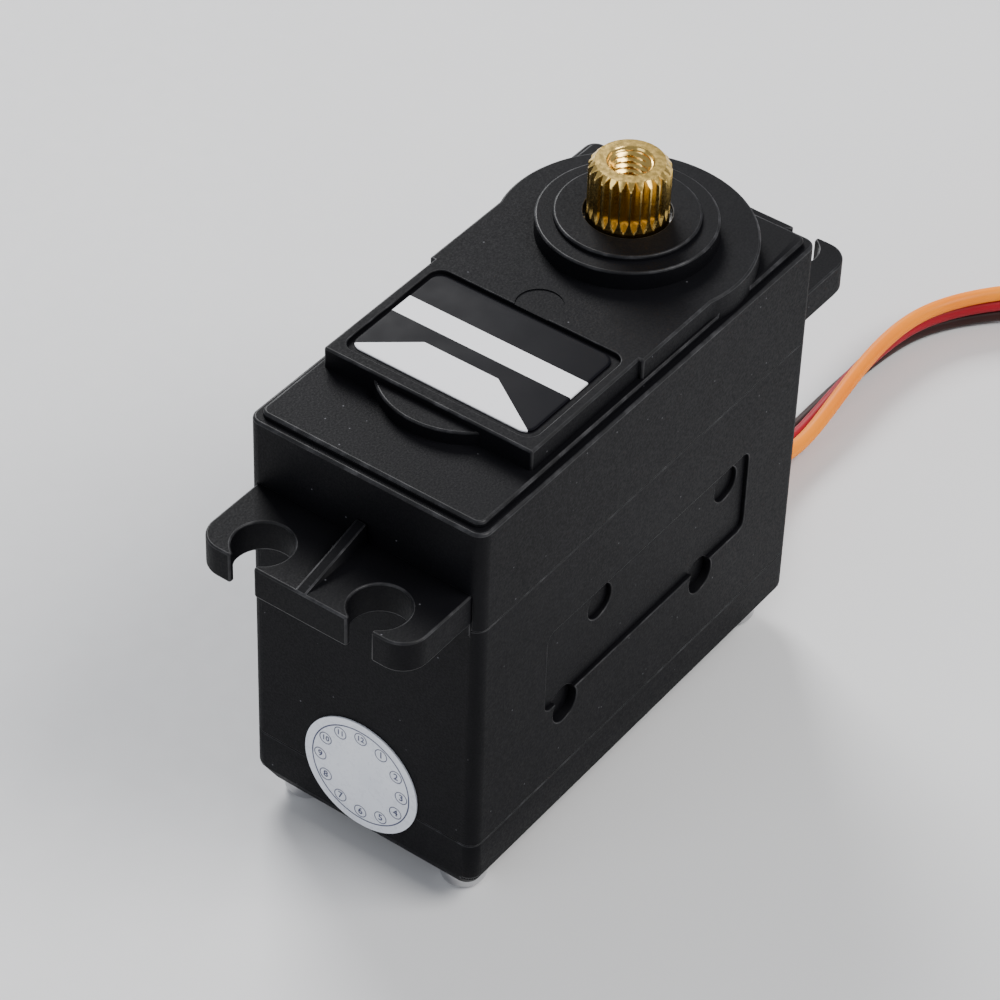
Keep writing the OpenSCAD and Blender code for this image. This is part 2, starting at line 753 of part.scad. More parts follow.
module output_gear() {
    countersink = 0.5;
    web = 0.5;
    collar_top_z = disc_z + 0.6;
    color(brass) translate([axis_x, 0, 0]) difference() {
        union() {
            toothed(3, 1, true, layer_4[0], layer_4[1]);
            bar(0, 0, journal_r, shaft_bottom_z, collar_top_z);
            bar(0, 0, journal_r + 0.6, layer_4[1] - overlap, bearing_z - 0.05);
            bar(0, 0, journal_r + 0.25, gear_floor_z + 0.1, layer_4[0] + overlap);
            spline(collar_top_z - overlap, shaft_top_z);
        }
        bar(0, 0, thread_r, shaft_top_z - thread_depth, shaft_top_z + 1);
        translate([0, 0, shaft_top_z - countersink])
            cylinder(r1 = thread_r, r2 = thread_r + 2 * countersink, h = 2 * countersink);
        d_bar(sensor_shaft_r + 0.04, d_flat + 0.04, shaft_bottom_z - 1, socket_top_z);
        for (z = [layer_4[0] - 1, layer_4[1] - web])
            ring(0, 0, pitch_r(3, 1) - 1.8, journal_r + 1.4, z, z + 1 + web);
    }
}

// ---------------------------------------------------------------- bearings

module race(inner, outer) {
    color(steel) translate([axis_x, 0, 0]) difference() {
        ring(0, 0, outer, inner, bearing_z, bearing_top_z - 0.02);
        translate([0, 0, bearing_z + bearing_h / 2])
            rotate_extrude() translate([bearing_pitch_r, 0]) circle(groove_r);
    }
}

module bearing_outer_race() {
    race(bearing_r - race_t, bearing_r);
}

module bearing_inner_race() {
    race(journal_r + fit, journal_r + race_t);
}

module at_balls() {
    translate([axis_x, 0, bearing_z + bearing_h / 2])
        for (i = [0:ball_count - 1]) rotate([0, 0, i * 360 / ball_count])
            translate([bearing_pitch_r, 0, 0]) children();
}

module bearing_balls() {
    color(steel) at_balls() sphere(ball_r);
}

module bearing_cage() {
    half_w = 0.12 * (bearing_r - journal_r);
    cage_half_h = ball_r + 0.25;
    color(brass) difference() {
        ring(axis_x, 0, bearing_pitch_r + half_w, bearing_pitch_r - half_w,
             bearing_z + bearing_h / 2 - cage_half_h, bearing_z + bearing_h / 2 + cage_half_h);
        at_balls() rotate([0, 90, 0])
            cylinder(r = ball_r + 0.05, h = 4 * half_w, center = true);
    }
}

module lower_bush() {
    color(brass) ring(axis_x, 0, bush_r, journal_r + 0.03, bush_z, gear_floor_z - 0.05);
}

// ---------------------------------------------------------------- position sensor

module sensor_body() {
    can = 0.8;
    color([0.15, 0.25, 0.45]) translate([axis_x, 0, 0]) difference() {
        union() {
            bar(0, 0, sensor_r, sensor_z[0], sensor_z[1]);
            bar(0, 0, sensor_neck_r, sensor_z[1] - overlap, sensor_neck_top_z);
        }
        bar(0, 0, sensor_r - can, sensor_z[0] + can, sensor_z[1] - can);
        bar(0, 0, sensor_shaft_r + 0.05, sensor_z[1] - 2, sensor_neck_top_z + 1);
    }
}

module sensor_track() {
    color([0.1, 0.09, 0.08])
        bar(axis_x, 0, sensor_r - 0.85, sensor_z[0] + 0.82, sensor_z[0] + 1.4);
}

module sensor_wiper() {
    z = sensor_z[0] + 1.5;
    color(brass) translate([axis_x, 0, 0]) difference() {
        union() {
            bar(0, 0, 2.4, z, z + 0.5);
            block([0, -0.6, z], [sensor_r - 1.4, 0.6, z + 0.4]);
        }
        bar(0, 0, sensor_shaft_r + fit, z - 1, z + 1);
    }
}

module sensor_shaft() {
    color([0.85, 0.85, 0.82]) translate([axis_x, 0, 0]) {
        bar(0, 0, sensor_shaft_r, sensor_z[0] + 1.5, sensor_neck_top_z + 0.3);
        d_bar(sensor_shaft_r, d_flat, sensor_neck_top_z, socket_top_z - 0.3);
    }
}

module sensor_terminals() {
    color(steel) for (i = [-1:1])
        block([axis_x - 0.4, i * lead_pitch - 0.5, sensor_z[0] - 1.6],
              [axis_x + 0.4, i * lead_pitch + 0.5, sensor_z[0] - 0.01]);
}

// ---------------------------------------------------------------- electronics

module circuit_board() {
    color([0.1, 0.35, 0.2]) difference() {
        slab(2 * inner_half_l - 0.4, 2 * inner_half_w - 0.4, 0.5, board_z, board_top_z);
        at_case_screws() bar(0, 0, screw_r + 1, board_z - 1, board_top_z + 1);
        block([inner_half_l - 1.3, -outlet_half_w - 1, board_z - 1],
              [inner_half_l + 1, outlet_half_w + 1, board_top_z + 1]);
    }
}

module control_chip() {
    color([0.08, 0.08, 0.09]) block([axis_x - 7.2, 1.4, board_top_z + board_gap], [axis_x - 2.2, 6.4, board_top_z + 1]);
}

module motor_driver_chips() {
    color([0.08, 0.08, 0.09]) for (y = [-6.6, -2.2])
        block([axis_x - 7.6, y - 1.6, board_top_z + board_gap], [axis_x - 2.6, y + 1.6, board_top_z + 1.5]);
}

module capacitor() {
    color([0.2, 0.2, 0.24]) bar(axis_x + 3.4, -5.2, 2, board_top_z + board_gap, board_top_z + 5);
}

module small_components() {
    color([0.75, 0.65, 0.5]) for (i = [0:4])
        block([axis_x + 1.5 * i, 4.2, board_top_z + board_gap], [axis_x + 1.5 * i + 0.8, 5.8, board_top_z + 0.6]);
}

module board_leads() {
    color([0.8, 0.2, 0.15]) for (i = [-1:1])
        bar(axis_x, i * lead_pitch, lead_r, board_top_z + 0.01, sensor_z[0] - 1.61);
}

// ---------------------------------------------------------------- cable

function unit(v) = v / norm(v);
function route_point(i) = [cable_x + cable_route[i][0], cable_route[i][1], cable_route[i][2]];
route_last = len(cable_route) - 1;

// Direction of the ribbon at one route point
function heading(i) =
    i == 0 ? [1, 0, 0]
    : i == route_last ? [1, 0, 0]
    : unit(unit(route_point(i + 1) - route_point(i)) + unit(route_point(i) - route_point(i - 1)));

// Level direction to the ribbon's left, and the direction square to both
function left_of(i) = unit(cross([0, 0, 1], heading(i)));
function above(i) = cross(heading(i), left_of(i));

// Direction across the ribbon, from the ground wire to the signal wire
function across(i) = cos(cable_route[i][3]) * left_of(i) + sin(cable_route[i][3]) * above(i);
function wire_point(i, offset) = route_point(i) + offset * across(i);

// One wire of the ribbon, a tube swept along the route at an offset across it
module wire_tube(offset) {
    corners = [for (i = [0:route_last], k = [0:tube_sides - 1])
        let (a = (k + 0.5) * 360 / tube_sides + cable_route[i][3], r = wire_d / 2)
        wire_point(i, offset) + r * (cos(a) * left_of(i) + sin(a) * above(i))];
    walls = [for (i = [0:route_last - 1], k = [0:tube_sides - 1])
        let (j = (k + 1) % tube_sides, low = i * tube_sides, high = low + tube_sides)
        each [[low + k, high + k, high + j], [low + k, high + j, low + j]]];
    ends = [[for (k = [0:tube_sides - 1]) k],
            [for (k = [0:tube_sides - 1]) route_last * tube_sides + tube_sides - 1 - k]];
    polyhedron(corners, concat(walls, ends));
}

module signal_wire() {
    color([0.98, 0.6, 0.2]) wire_tube(wire_pitch);
}

module power_wire() {
    color([0.8, 0.12, 0.15]) wire_tube(0);
}

module ground_wire() {
    color([0.3, 0.18, 0.14]) wire_tube(-wire_pitch);
}

module cable_hank() {
    long = hank_x[1] - hank_x[0];
    color([0.8, 0.3, 0.15]) difference() {
        translate([hank_x[0] + long / 2, hank_y, hank_z[0]]) linear_extrude(hank_z[1] - hank_z[0])
            rounded_rect(long + 2 * hank_r, 2 * hank_r, hank_r - 0.01);
        block([pocket_x[0], hank_y - pocket_half_w, -1], [pocket_x[1], hank_y + pocket_half_w, 9]);
    }
}

module cable_tie() {
    half_w = hank_r + 0.03;
    gap = 0.03;
    color([0.1, 0.1, 0.1]) difference() {
        block([tie_x, hank_y - half_w - tie_t, hank_z[0] - gap - 0.45],
              [tie_x + tie_w, hank_y + half_w + tie_t, hank_z[1] + gap + tie_t]);
        block([tie_x - 1, hank_y - half_w, hank_z[0] - gap],
              [tie_x + tie_w + 1, hank_y + half_w, hank_z[1] + gap]);
    }
}

module plug_housing() {
    half_w = 1.5 * plug_pitch;
    opening = 0.85;
    color([0.06, 0.06, 0.07]) difference() {
        block([plug_x, hank_y - half_w, 0], [plug_x + plug_l, hank_y + half_w, plug_pitch]);
        for (i = [-1:1])
            block([plug_x + 1, hank_y + i * plug_pitch - opening, plug_pitch / 2 - opening],
                  [plug_x + plug_l + 1, hank_y + i * plug_pitch + opening, plug_pitch / 2 + opening]);
    }
}

module plug_contacts() {
    half = 0.78;
    hollow = 0.55;
    color([0.85, 0.7, 0.35]) for (i = [-1:1]) translate([0, hank_y + i * plug_pitch, plug_pitch / 2]) difference() {
        block([plug_x + 1.1, -half, -half], [plug_x + plug_l - 1, half, half]);
        block([plug_x + 5, -hollow, -hollow], [plug_x + plug_l, hollow, hollow]);
    }
}

top_case();
middle_case();
bottom_cover();
case_screws();
top_label();
end_label();
cable_grommet();
motor_can();
motor_magnets();
motor_front_bush();
motor_end_bell();
motor_rear_bush();
motor_brushes();
motor_terminals();
motor_screws();
motor_shaft();
motor_pinion();
armature_core();
armature_windings();
commutator();
centre_pin();
rear_pin();
first_gear();
second_gear();
third_gear();
output_gear();
bearing_outer_race();
bearing_inner_race();
bearing_balls();
bearing_cage();
lower_bush();
sensor_body();
sensor_track();
sensor_terminals();
sensor_shaft();
sensor_wiper();
circuit_board();
control_chip();
motor_driver_chips();
capacitor();
small_components();
board_leads();
signal_wire();
power_wire();
ground_wire();
cable_hank();
cable_tie();
plug_housing();
plug_contacts();
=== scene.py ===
# %% [markdown]
# # A hobby servo motor
# The CAD model gives every piece its place. This lesson gives the pieces their looks: softened
# edges on the moulded case, a cut brass spline with a thread, three insulated wires and a finish
# for each part.

# %% Load the fixed frame
from math import cos, pi, radians, sin

import bmesh
import bpy
import numpy as np
from mathutils import Matrix, Vector
from mathutils.bvhtree import BVHTree


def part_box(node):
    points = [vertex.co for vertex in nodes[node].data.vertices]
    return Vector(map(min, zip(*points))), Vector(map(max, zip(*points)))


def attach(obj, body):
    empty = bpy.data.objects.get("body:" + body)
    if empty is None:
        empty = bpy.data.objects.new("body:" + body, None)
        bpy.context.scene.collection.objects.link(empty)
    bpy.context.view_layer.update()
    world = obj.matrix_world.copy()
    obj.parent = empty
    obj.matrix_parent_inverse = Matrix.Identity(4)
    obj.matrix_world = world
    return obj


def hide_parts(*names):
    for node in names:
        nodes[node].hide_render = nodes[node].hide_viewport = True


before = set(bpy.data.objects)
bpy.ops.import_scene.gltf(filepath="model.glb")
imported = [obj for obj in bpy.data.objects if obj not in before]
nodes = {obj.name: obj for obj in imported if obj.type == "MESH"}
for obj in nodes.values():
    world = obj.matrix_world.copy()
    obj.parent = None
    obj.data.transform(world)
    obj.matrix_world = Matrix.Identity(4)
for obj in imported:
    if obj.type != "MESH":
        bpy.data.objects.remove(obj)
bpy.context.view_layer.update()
mm = 0.001

# %% [markdown]
# ## Camera
# The camera looks down on the motor end from the near left, through a long lens. Its place and its
# three directions came from fitting a camera to the corners of the case, so they are plain numbers.

# %% Camera
CAMERA_PLACE = Vector((-172.94, -119.18, 207.65)) * mm
CAMERA_RIGHT = Vector((0.5950, -0.8033, 0.0268))
CAMERA_UP = Vector((0.5151, 0.4068, 0.7544))
CAMERA_BACK = Vector((-0.6169, -0.4351, 0.6558))

camera_data = bpy.data.cameras.new("camera")
camera_data.lens = 139.48
camera_data.shift_x = -0.0042
camera_data.shift_y = -0.0546
camera_data.clip_start = 0.01
camera_data.clip_end = 20
camera = bpy.data.objects.new("camera", camera_data)
bpy.context.scene.collection.objects.link(camera)
turn = Matrix((CAMERA_RIGHT, CAMERA_UP, CAMERA_BACK)).transposed()
camera.matrix_world = Matrix.Translation(CAMERA_PLACE) @ turn.to_quaternion().to_matrix().to_4x4()
bpy.context.scene.camera = camera
print("camera distance in mm:", round(CAMERA_PLACE.length / mm, 1))

# %% [markdown]
# ## Making a mesh from arrays
# Most new pieces are a grid of points worked out in one go. The grid is closed around its columns,
# and either closed along its rows too, or shut with a flat cap at both ends.


# %% Grid helpers
def piece_from(name, points, faces, smooth_angle=35):
    """A mesh object from points in metres and faces as lists of point numbers. Edges sharper than
    the angle, in degrees, stay sharp, and all others are shaded smooth."""
    mesh = bpy.data.meshes.new(name)
    mesh.from_pydata(points, [], faces)
    mesh.validate()
    mesh.polygons.foreach_set("use_smooth", np.ones(len(mesh.polygons), bool))
    mesh.set_sharp_from_angle(angle=radians(smooth_angle))
    piece = bpy.data.objects.new(name, mesh)
    bpy.context.scene.collection.objects.link(piece)
    return piece


def grid_faces(rows, columns, loop_rows, first=0):
    """Quads of a grid whose columns close on themselves. A point's number is its row times the
    number of columns plus its column."""
    row = np.arange(rows if loop_rows else rows - 1)[:, None]
    column = np.arange(columns)[None, :]
    next_row = (row + 1) % rows
    next_column = (column + 1) % columns
    corners = [row * columns + column, row * columns + next_column,
               next_row * columns + next_column, next_row * columns + column]
    return np.stack(corners, -1).reshape(-1, 4) + first


def outward(piece):
    """Turns all faces of a closed mesh outwards, after its double points are merged."""
    mesh = bmesh.new()
    mesh.from_mesh(piece.data)
    bmesh.ops.remove_doubles(mesh, verts=mesh.verts, dist=1e-7)
    bmesh.ops.recalc_face_normals(mesh, faces=mesh.faces)
    mesh.to_mesh(piece.data)
    mesh.free()
    return piece


def lofted(name, rings, loop_rows=False, smooth_angle=35):
    """A closed skin over a stack of rings, an array of ring by point by three numbers."""
    rows, columns = rings.shape[:2]
    faces = grid_faces(rows, columns, loop_rows).tolist()
    if not loop_rows:
        faces.append(list(range(columns))[::-1])
        faces.append(list(range((rows - 1) * columns, rows * columns)))
    return outward(piece_from(name, rings.reshape(-1, 3), faces, smooth_angle))


# %% [markdown]
# ## The wires
# A servo's lead is a flat ribbon of three insulated wires. It leaves the case lying flat, turns
# onto its edge as it reaches the table, and runs to a tied hank with the connector in its middle.
# The route is the same list of points as in the CAD source, and a cubic curve through them gives
# the smooth line.

# %% Route of the ribbon
ribbon_pitch = 1.27
socket_pitch = 2.54
wire_pitch = ribbon_pitch * mm
wire_radius = 0.622 * mm
exit_z = 6.5
wall_x = 20.2
ROUTE = [
    (-6.7, 0, exit_z - 0.2, 180), (-3.7, 0, exit_z, 180), (-0.7, 0, exit_z, 180),
    (2.5, 0, exit_z, 180), (4.6, 0, exit_z - 0.4, 179), (6.8, 0, 5, 176), (9.3, 0, 3.5, 170),
    (12.3, -0.2, 2.1, 161), (15.8, -0.4, 1.4, 150), (19.8, -0.3, 1.5, 138), (23.8, -0.1, 1.7, 126),
    (27.8, 0, 1.8, 115), (31.3, -0.2, 1.9, 108), (34.6, -0.8, 1.9, 104), (37.6, -2.1, 1.9, 101),
    (40.3, -4.1, 2, 98), (43, -6.6, 2.1, 95), (46.2, -9.3, 2.2, 92), (49.8, -11.9, 2.3, 90),
    (53.8, -13.8, 2.4, 90), (58.3, -14.75, 2.4, 90),
]


def distance_along(points):
    """The distance from a line's first point to each of its points."""
    return np.r_[0, np.cumsum(np.linalg.norm(np.diff(points, axis=0), axis=1))]


def cubic_through(knots, steps):
    """Points on a natural cubic curve through the knots, the same number of steps in each span. The
    second derivatives follow from one linear system, which makes slope and curvature run on."""
    count = len(knots)
    gap = np.linalg.norm(np.diff(knots[:, :3], axis=0), axis=1)
    system = np.eye(count)
    right = np.zeros((count, knots.shape[1]))
    inner = np.arange(1, count - 1)
    system[inner, inner - 1] = gap[:-1]
    system[inner, inner] = 2 * (gap[:-1] + gap[1:])
    system[inner, inner + 1] = gap[1:]
    slope = np.diff(knots, axis=0) / gap[:, None]
    right[inner] = 6 * (slope[1:] - slope[:-1])
    bend = np.linalg.solve(system, right)
    t = (np.arange(steps) / steps)[None, :, None]
    h = gap[:, None, None]
    here, after = knots[:-1, None], knots[1:, None]
    bend_here, bend_after = bend[:-1, None], bend[1:, None]
    curve = ((1 - t) * here + t * after
             + h**2 / 6 * (((1 - t) ** 3 - (1 - t)) * bend_here + (t**3 - t) * bend_after))
    return np.vstack([curve.reshape(-1, knots.shape[1]), knots[-1:]])


lead_knots = np.array(ROUTE, float)
lead_knots[:, 0] += wall_x
lead = cubic_through(lead_knots, 8)
print("lead in the open, mm:", round(float(distance_along(lead[:, :3])[-1]), 1))

# %% [markdown]
# ### The hank
# The rest of the lead is wound into long turns that lie side by side, with the ribbon on its edge.
# Each half turn is a little smaller than the last. The end bends back through the middle to the
# connector.

# %% Turns of the hank
hank_y = -7.0
hank_ends = (wall_x + 61.8, wall_x + 83.8)
turn_radii = [7.9, 7.25, 6.6, 5.95, 5.3, 4.65]
plug_start = wall_x + 71.05
hank_height = 2.45
plug_height = 1.27
run_in = 3
into_plug = 0.6
back_radius = 3.75
back_x = plug_start - 8.5
back_y = hank_y + turn_radii[-1] - back_radius


def half_turn(centre_x, start_radius, end_radius, side, steps=26):
    """Half a spiral turn about one end of the hank. The radius changes evenly with the angle."""
    share = np.linspace(0, 1, steps)
    angle = side * pi / 2 + share * pi
    radius = start_radius + (end_radius - start_radius) * share
    return np.stack([centre_x + radius * np.cos(angle), hank_y + radius * np.sin(angle)], 1)


turns = []
for number in range(3):
    far, near = turn_radii[2 * number], turn_radii[2 * number + 1]
    turns.append(half_turn(hank_ends[1], far, near, -1))
    if number < 2:
        turns.append(half_turn(hank_ends[0], near, turn_radii[2 * number + 2], 1))
fold_angle = pi / 2 + np.linspace(0, 1, 30) * pi
turns.append(np.stack([back_x + back_radius * np.cos(fold_angle),
                       back_y + back_radius * np.sin(fold_angle)], 1))
# From the fold's low side, a half wave of a cosine brings the ribbon back to the hank's middle
way_back = np.linspace(0.04, 1, 24)
aside = (back_y - back_radius - hank_y) * (1 + np.cos(pi * way_back)) / 2
turns.append(np.stack([back_x + way_back * (plug_start - back_x), hank_y + aside], 1))
turns.append(np.array([[plug_start + into_plug, hank_y]]))
corners = np.vstack([lead[-1:, :2], [[hank_ends[0] + run_in, hank_y - turn_radii[0]]], *turns])


def evenly(points, spacing):
    """The same line with its points a fixed distance apart, by straight interpolation."""
    along = distance_along(points)
    marks = np.linspace(0, along[-1], int(along[-1] / spacing) + 2)
    return np.stack([np.interp(marks, along, points[:, k]) for k in range(points.shape[1])], 1)


def eased(left_over, start, distance):
    """From 0 to 1 with level ends. It begins start mm before the connector and takes distance
    mm."""
    share = np.clip((start - left_over) / distance, 0, 1)
    return share * share * (3 - 2 * share)


point_gap = 0.8
blend_distance = 6
wound = evenly(corners, point_gap)[1:]
count = len(wound)
left_over = np.linspace(count, 0, count) * point_gap
settle = eased(left_over, 9, 7.5)
fan = eased(left_over, 8, 6.5)
height = hank_height + (plug_height - hank_height) * settle
start_blend = np.clip(np.arange(count) * point_gap / blend_distance, 0, 1)
height = lead[-1, 2] + (height - lead[-1, 2]) * start_blend
roll = 90 + 90 * settle
centreline = np.vstack([lead, np.column_stack([wound, height, roll])])
spread_pitch = ribbon_pitch + (socket_pitch - ribbon_pitch) * fan
spacing = np.r_[np.full(len(lead), ribbon_pitch), spread_pitch] * mm
print("points on the ribbon's centreline:", len(centreline))


# %% Wire tubes
def smoothed(values, passes):
    """Each inner value becomes a quarter, a half and a quarter of itself and its neighbours."""
    values = values.copy()
    for _ in range(passes):
        values[1:-1] = 0.25 * values[:-2] + 0.5 * values[1:-1] + 0.25 * values[2:]
    return values


ribbon_middle = smoothed(centreline[:, :3], 3) * mm
twist = np.radians(centreline[:, 3])
heading = np.gradient(ribbon_middle, axis=0)
heading /= np.linalg.norm(heading, axis=1, keepdims=True)
left = np.cross([0, 0, 1], heading)
left /= np.linalg.norm(left, axis=1, keepdims=True)
over = np.cross(heading, left)
across = np.cos(twist)[:, None] * left + np.sin(twist)[:, None] * over


def wrap_map(piece, sides, length):
    """A UV map on a tube: U is the share of the way round and V the distance along, both in units
    of one turn round the tube. A face over the seam takes 1 where its first column would give 0."""
    mesh = piece.data
    corner = np.empty(len(mesh.loops), int)
    mesh.loops.foreach_get("vertex_index", corner)
    corners_of_face = np.empty(len(mesh.polygons), int)
    mesh.polygons.foreach_get("loop_total", corners_of_face)
    face = np.repeat(np.arange(len(mesh.polygons)), corners_of_face)
    column = (corner % sides).astype(float)
    most = np.zeros(len(mesh.polygons))
    np.maximum.at(most, face, column)
    column[(column == 0) & (most[face] == sides - 1)] = sides
    row = np.minimum(corner // sides, len(length) - 1)
    spots = np.stack([column / sides, length[row] / (2 * pi * wire_radius)], 1)
    mesh.uv_layers.new(name="around and along").uv.foreach_set("vector", spots.ravel())


def wire(name, place):
    """One insulated wire, a round tube about the centreline moved across the ribbon by place
    pitches. The tube's V coordinate runs along it and its U coordinate runs round it."""
    sides = 14
    path = ribbon_middle + place * spacing[:, None] * across
    # A ring of points about each path point, in the plane square to the wire
    angle = (np.arange(sides) + 0.5) * 2 * pi / sides
    ring = (np.cos(angle)[None, :, None] * left[:, None]
            + np.sin(angle)[None, :, None] * over[:, None])
    rings = path[:, None] + wire_radius * ring
    piece = lofted(name, rings, smooth_angle=60)
    wrap_map(piece, sides, distance_along(path))
    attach(piece, "case")
    return piece, path


signal_wire, signal_path = wire("signal_insulation_tube", 1)
power_wire, power_path = wire("power_insulation_tube", 0)
ground_wire, ground_path = wire("ground_insulation_tube", -1)
print("length of the middle wire, mm:", round(float(distance_along(power_path)[-1]) / mm, 1))

# %% [markdown]
# ### Tie
# A black tie goes once round the hank near one end. It is a flat band swept round a rectangle with
# round corners, with a small locking head on top.

# %% Cable tie
tie_low, tie_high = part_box("cable_tie")
band_thick, band_corner = 0.45 * mm, 1.1 * mm
head_half_x, head_half_y, head_corner = 1.9 * mm, 2.1 * mm, 0.5 * mm
head_y = -4.5 * mm
head_sink = 0.05 * mm


def round_loop(half_width, half_height, radius, steps):
    """A rectangle with round corners, one quarter circle of points at each corner."""
    quarter = np.linspace(0, pi / 2, steps)
    points = []
    for k, (x, y) in enumerate([(1, 1), (-1, 1), (-1, -1), (1, -1)]):
        a = quarter + k * pi / 2
        points.append(np.stack([x * (half_width - radius) + radius * np.cos(a),
                                y * (half_height - radius) + radius * np.sin(a)], 1))
    return np.vstack(points)


def band(name, low, high, thick, corner):
    """A flat band round a box, from two loops. Its four edges are carried round the loop
    together."""
    half_y, half_z = (high.y - low.y) / 2, (high.z - low.z) / 2
    mid_y, mid_z = (high.y + low.y) / 2, (high.z + low.z) / 2
    outer = round_loop(half_y, half_z, corner, 8)
    inner = round_loop(half_y - thick, half_z - thick, corner - 0.6 * thick, 8)
    edges = [(low.x, outer), (low.x, inner), (high.x, inner), (high.x, outer)]
    rings = np.stack([np.column_stack([np.full(len(l), x), mid_y + l[:, 0], mid_z + l[:, 1]])
                      for x, l in edges], 1)
    return lofted(name, rings, loop_rows=True)


tie_band = band("tie_band", tie_low, tie_high, band_thick, band_corner)
head_x = (tie_low.x + tie_high.x) / 2
head_base = tie_high.z - head_sink
head_points = round_loop(head_half_x, head_half_y, head_corner, 5)
head_levels = np.array([0.0, 0.25, 1.7, 1.95]) * mm
head_scale = np.array([1, 1, 1, 0.86])
head_rings = np.stack([np.column_stack([
    head_x + s * head_points[:, 0], head_y + s * head_points[:, 1],
    np.full(len(head_points), head_base + z)]) for z, s in zip(head_levels, head_scale)])
tie_head = lofted("tie_head", head_rings)
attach(tie_band, "case")
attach(tie_head, "case")
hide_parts("cable_tie")
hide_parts("signal_wire", "cable_hank")
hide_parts("power_wire", "cable_hank")
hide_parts("ground_wire", "cable_hank")

# %% [markdown]
# ## Softened copies
# A moulded edge is never sharp. For the parts that show, the CAD mesh is copied, merged and
# dissolved into large faces, and its open outer edges get a small round. A ray from the edge's
# middle tells an open edge from one inside the case: the ray leaves along the edge's outward side
# and must hit nothing.


# %% Softened copy of a CAD node
def bake(piece):
    """Puts the result of a piece's modifiers into its own mesh and removes the modifiers."""
    graph = bpy.context.evaluated_depsgraph_get()
    done = bpy.data.meshes.new_from_object(piece.evaluated_get(graph))
    piece.modifiers.clear()
    piece.data = done
    done.name = piece.name


def keep_flat(piece):
    """Weights the shading by face area, so large flat faces stay flat beside their narrow
    rounds."""
    even = piece.modifiers.new("flat faces stay flat", "WEIGHTED_NORMAL")
    even.keep_sharp = True
    bake(piece)


def softened(name, node, width, steps=2, scale_at=None, cut=None):
    """A copy of a node with rounded outer edges. width is the round's size in metres, and scale_at
    gives a share of it from the middle point of an edge. cut drops all above that height. The faces
    of the rounds use the second of the copy's two material slots."""
    shape = bmesh.new()
    shape.from_mesh(nodes[node].data)
    bmesh.ops.remove_doubles(shape, verts=shape.verts, dist=1e-6)
    if cut is not None:
        geometry = shape.verts[:] + shape.edges[:] + shape.faces[:]
        result = bmesh.ops.bisect_plane(shape, geom=geometry, plane_co=(0, 0, cut),
                                        plane_no=(0, 0, 1), clear_outer=True)
        rim = [e for e in result["geom_cut"] if isinstance(e, bmesh.types.BMEdge)]
        bmesh.ops.holes_fill(shape, edges=rim, sides=0)
    bmesh.ops.dissolve_limit(shape, angle_limit=radians(0.6), verts=shape.verts, edges=shape.edges)
    tree = BVHTree.FromBMesh(shape)
    weight = shape.edges.layers.float.new("bevel_weight_edge")
    rounded = 0
    for edge in shape.edges:
        if len(edge.link_faces) != 2 or edge.calc_face_angle() < radians(32):
            continue
        edge.smooth = False
        if not edge.is_convex:
            continue
        place = (edge.verts[0].co + edge.verts[1].co) / 2
        away = (edge.link_faces[0].normal + edge.link_faces[1].normal).normalized()
        if tree.ray_cast(place + away * 2e-5, away)[0] is not None:
            continue
        edge[weight] = 1.0 if scale_at is None else scale_at(place / mm)
        edge.smooth = edge[weight] > 0
        rounded += 1
    for face in shape.faces:
        face.smooth = True
    mesh = bpy.data.meshes.new(name)
    shape.to_mesh(mesh)
    shape.free()
    mesh.materials.append(None)
    mesh.materials.append(None)
    piece = bpy.data.objects.new(name, mesh)
    bpy.context.scene.collection.objects.link(piece)
    bevel = piece.modifiers.new("rounding", "BEVEL")
    bevel.limit_method = "WEIGHT"
    bevel.width = width
    bevel.segments = steps
    bevel.use_clamp_overlap = False
    bevel.material = 1
    bevel.miter_outer = "MITER_ARC"
    keep_flat(piece)
    print(name, "edges rounded:", rounded, "faces:", len(piece.data.polygons))
    return piece


# %% [markdown]
# ## Case
# The three shells are one nylon moulding each. The rim of the top shell has the largest round, the
# steps round the shaft have smaller ones, and the shallow ring mark on the deck keeps its sharp
# edge.

# %% Case shells
face_z = 36.8
deck_z = 38.5
seams_z = (27.45, 6.55)
panel_y = -9.4
recess_low_x, recess_high_x, recess_half_y = -12.4, -1.2, 8.2
mark_x, mark_radius = -0.3, 1.9
shaft_x = 10.2
hole_radius = 4


def top_scale(place):
    """Share of the full round: none on the shallow mark, a quarter at the seam, about a third on
    the recess and the hole, a little less than all of it on the steps, and all of it on the rim."""
    if abs(place.z - deck_z) < 0.1 and (place.x - mark_x) ** 2 + place.y**2 < mark_radius**2:
        return 0.0
    if place.z < face_z - 2:
        return 0.25
    recess = (recess_low_x < place.x < recess_high_x and abs(place.y) < recess_half_y
              and place.z > deck_z - 0.5)
    hole = (place.x - shaft_x) ** 2 + place.y**2 < hole_radius**2
    if recess or hole:
        return 0.35
    return 0.8 if place.z > face_z + 0.4 else 1.0


def middle_scale(place):
    """Share of the full round: small at the seams and in the side panel."""
    at_seam = min(abs(place.z - seam) for seam in seams_z) < 0.1
    return 0.3 if at_seam or place.y < panel_y else 0.6


top_shell = softened("top_shell", "top_case", 0.22 * mm, 3, top_scale)
middle_shell = softened("middle_shell", "middle_case", 0.25 * mm, 2, middle_scale)
bottom_shell = softened("bottom_shell", "bottom_cover", 0.2 * mm, 2,
                        lambda place: 0.4 if place.z > 6 else 1.0)
grommet = softened("grommet_rubber", "cable_grommet", 0.2 * mm, 2)
screw_set = softened("screw_heads", "case_screws", 0.25 * mm, 3,
                     lambda place: 0.2 if place.z > 3 else 1.0)
for piece, node in ((top_shell, "top_case"), (middle_shell, "middle_case"),
                    (bottom_shell, "bottom_cover"), (grommet, "cable_grommet"),
                    (screw_set, "case_screws")):
    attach(piece, "case")
    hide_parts(node)

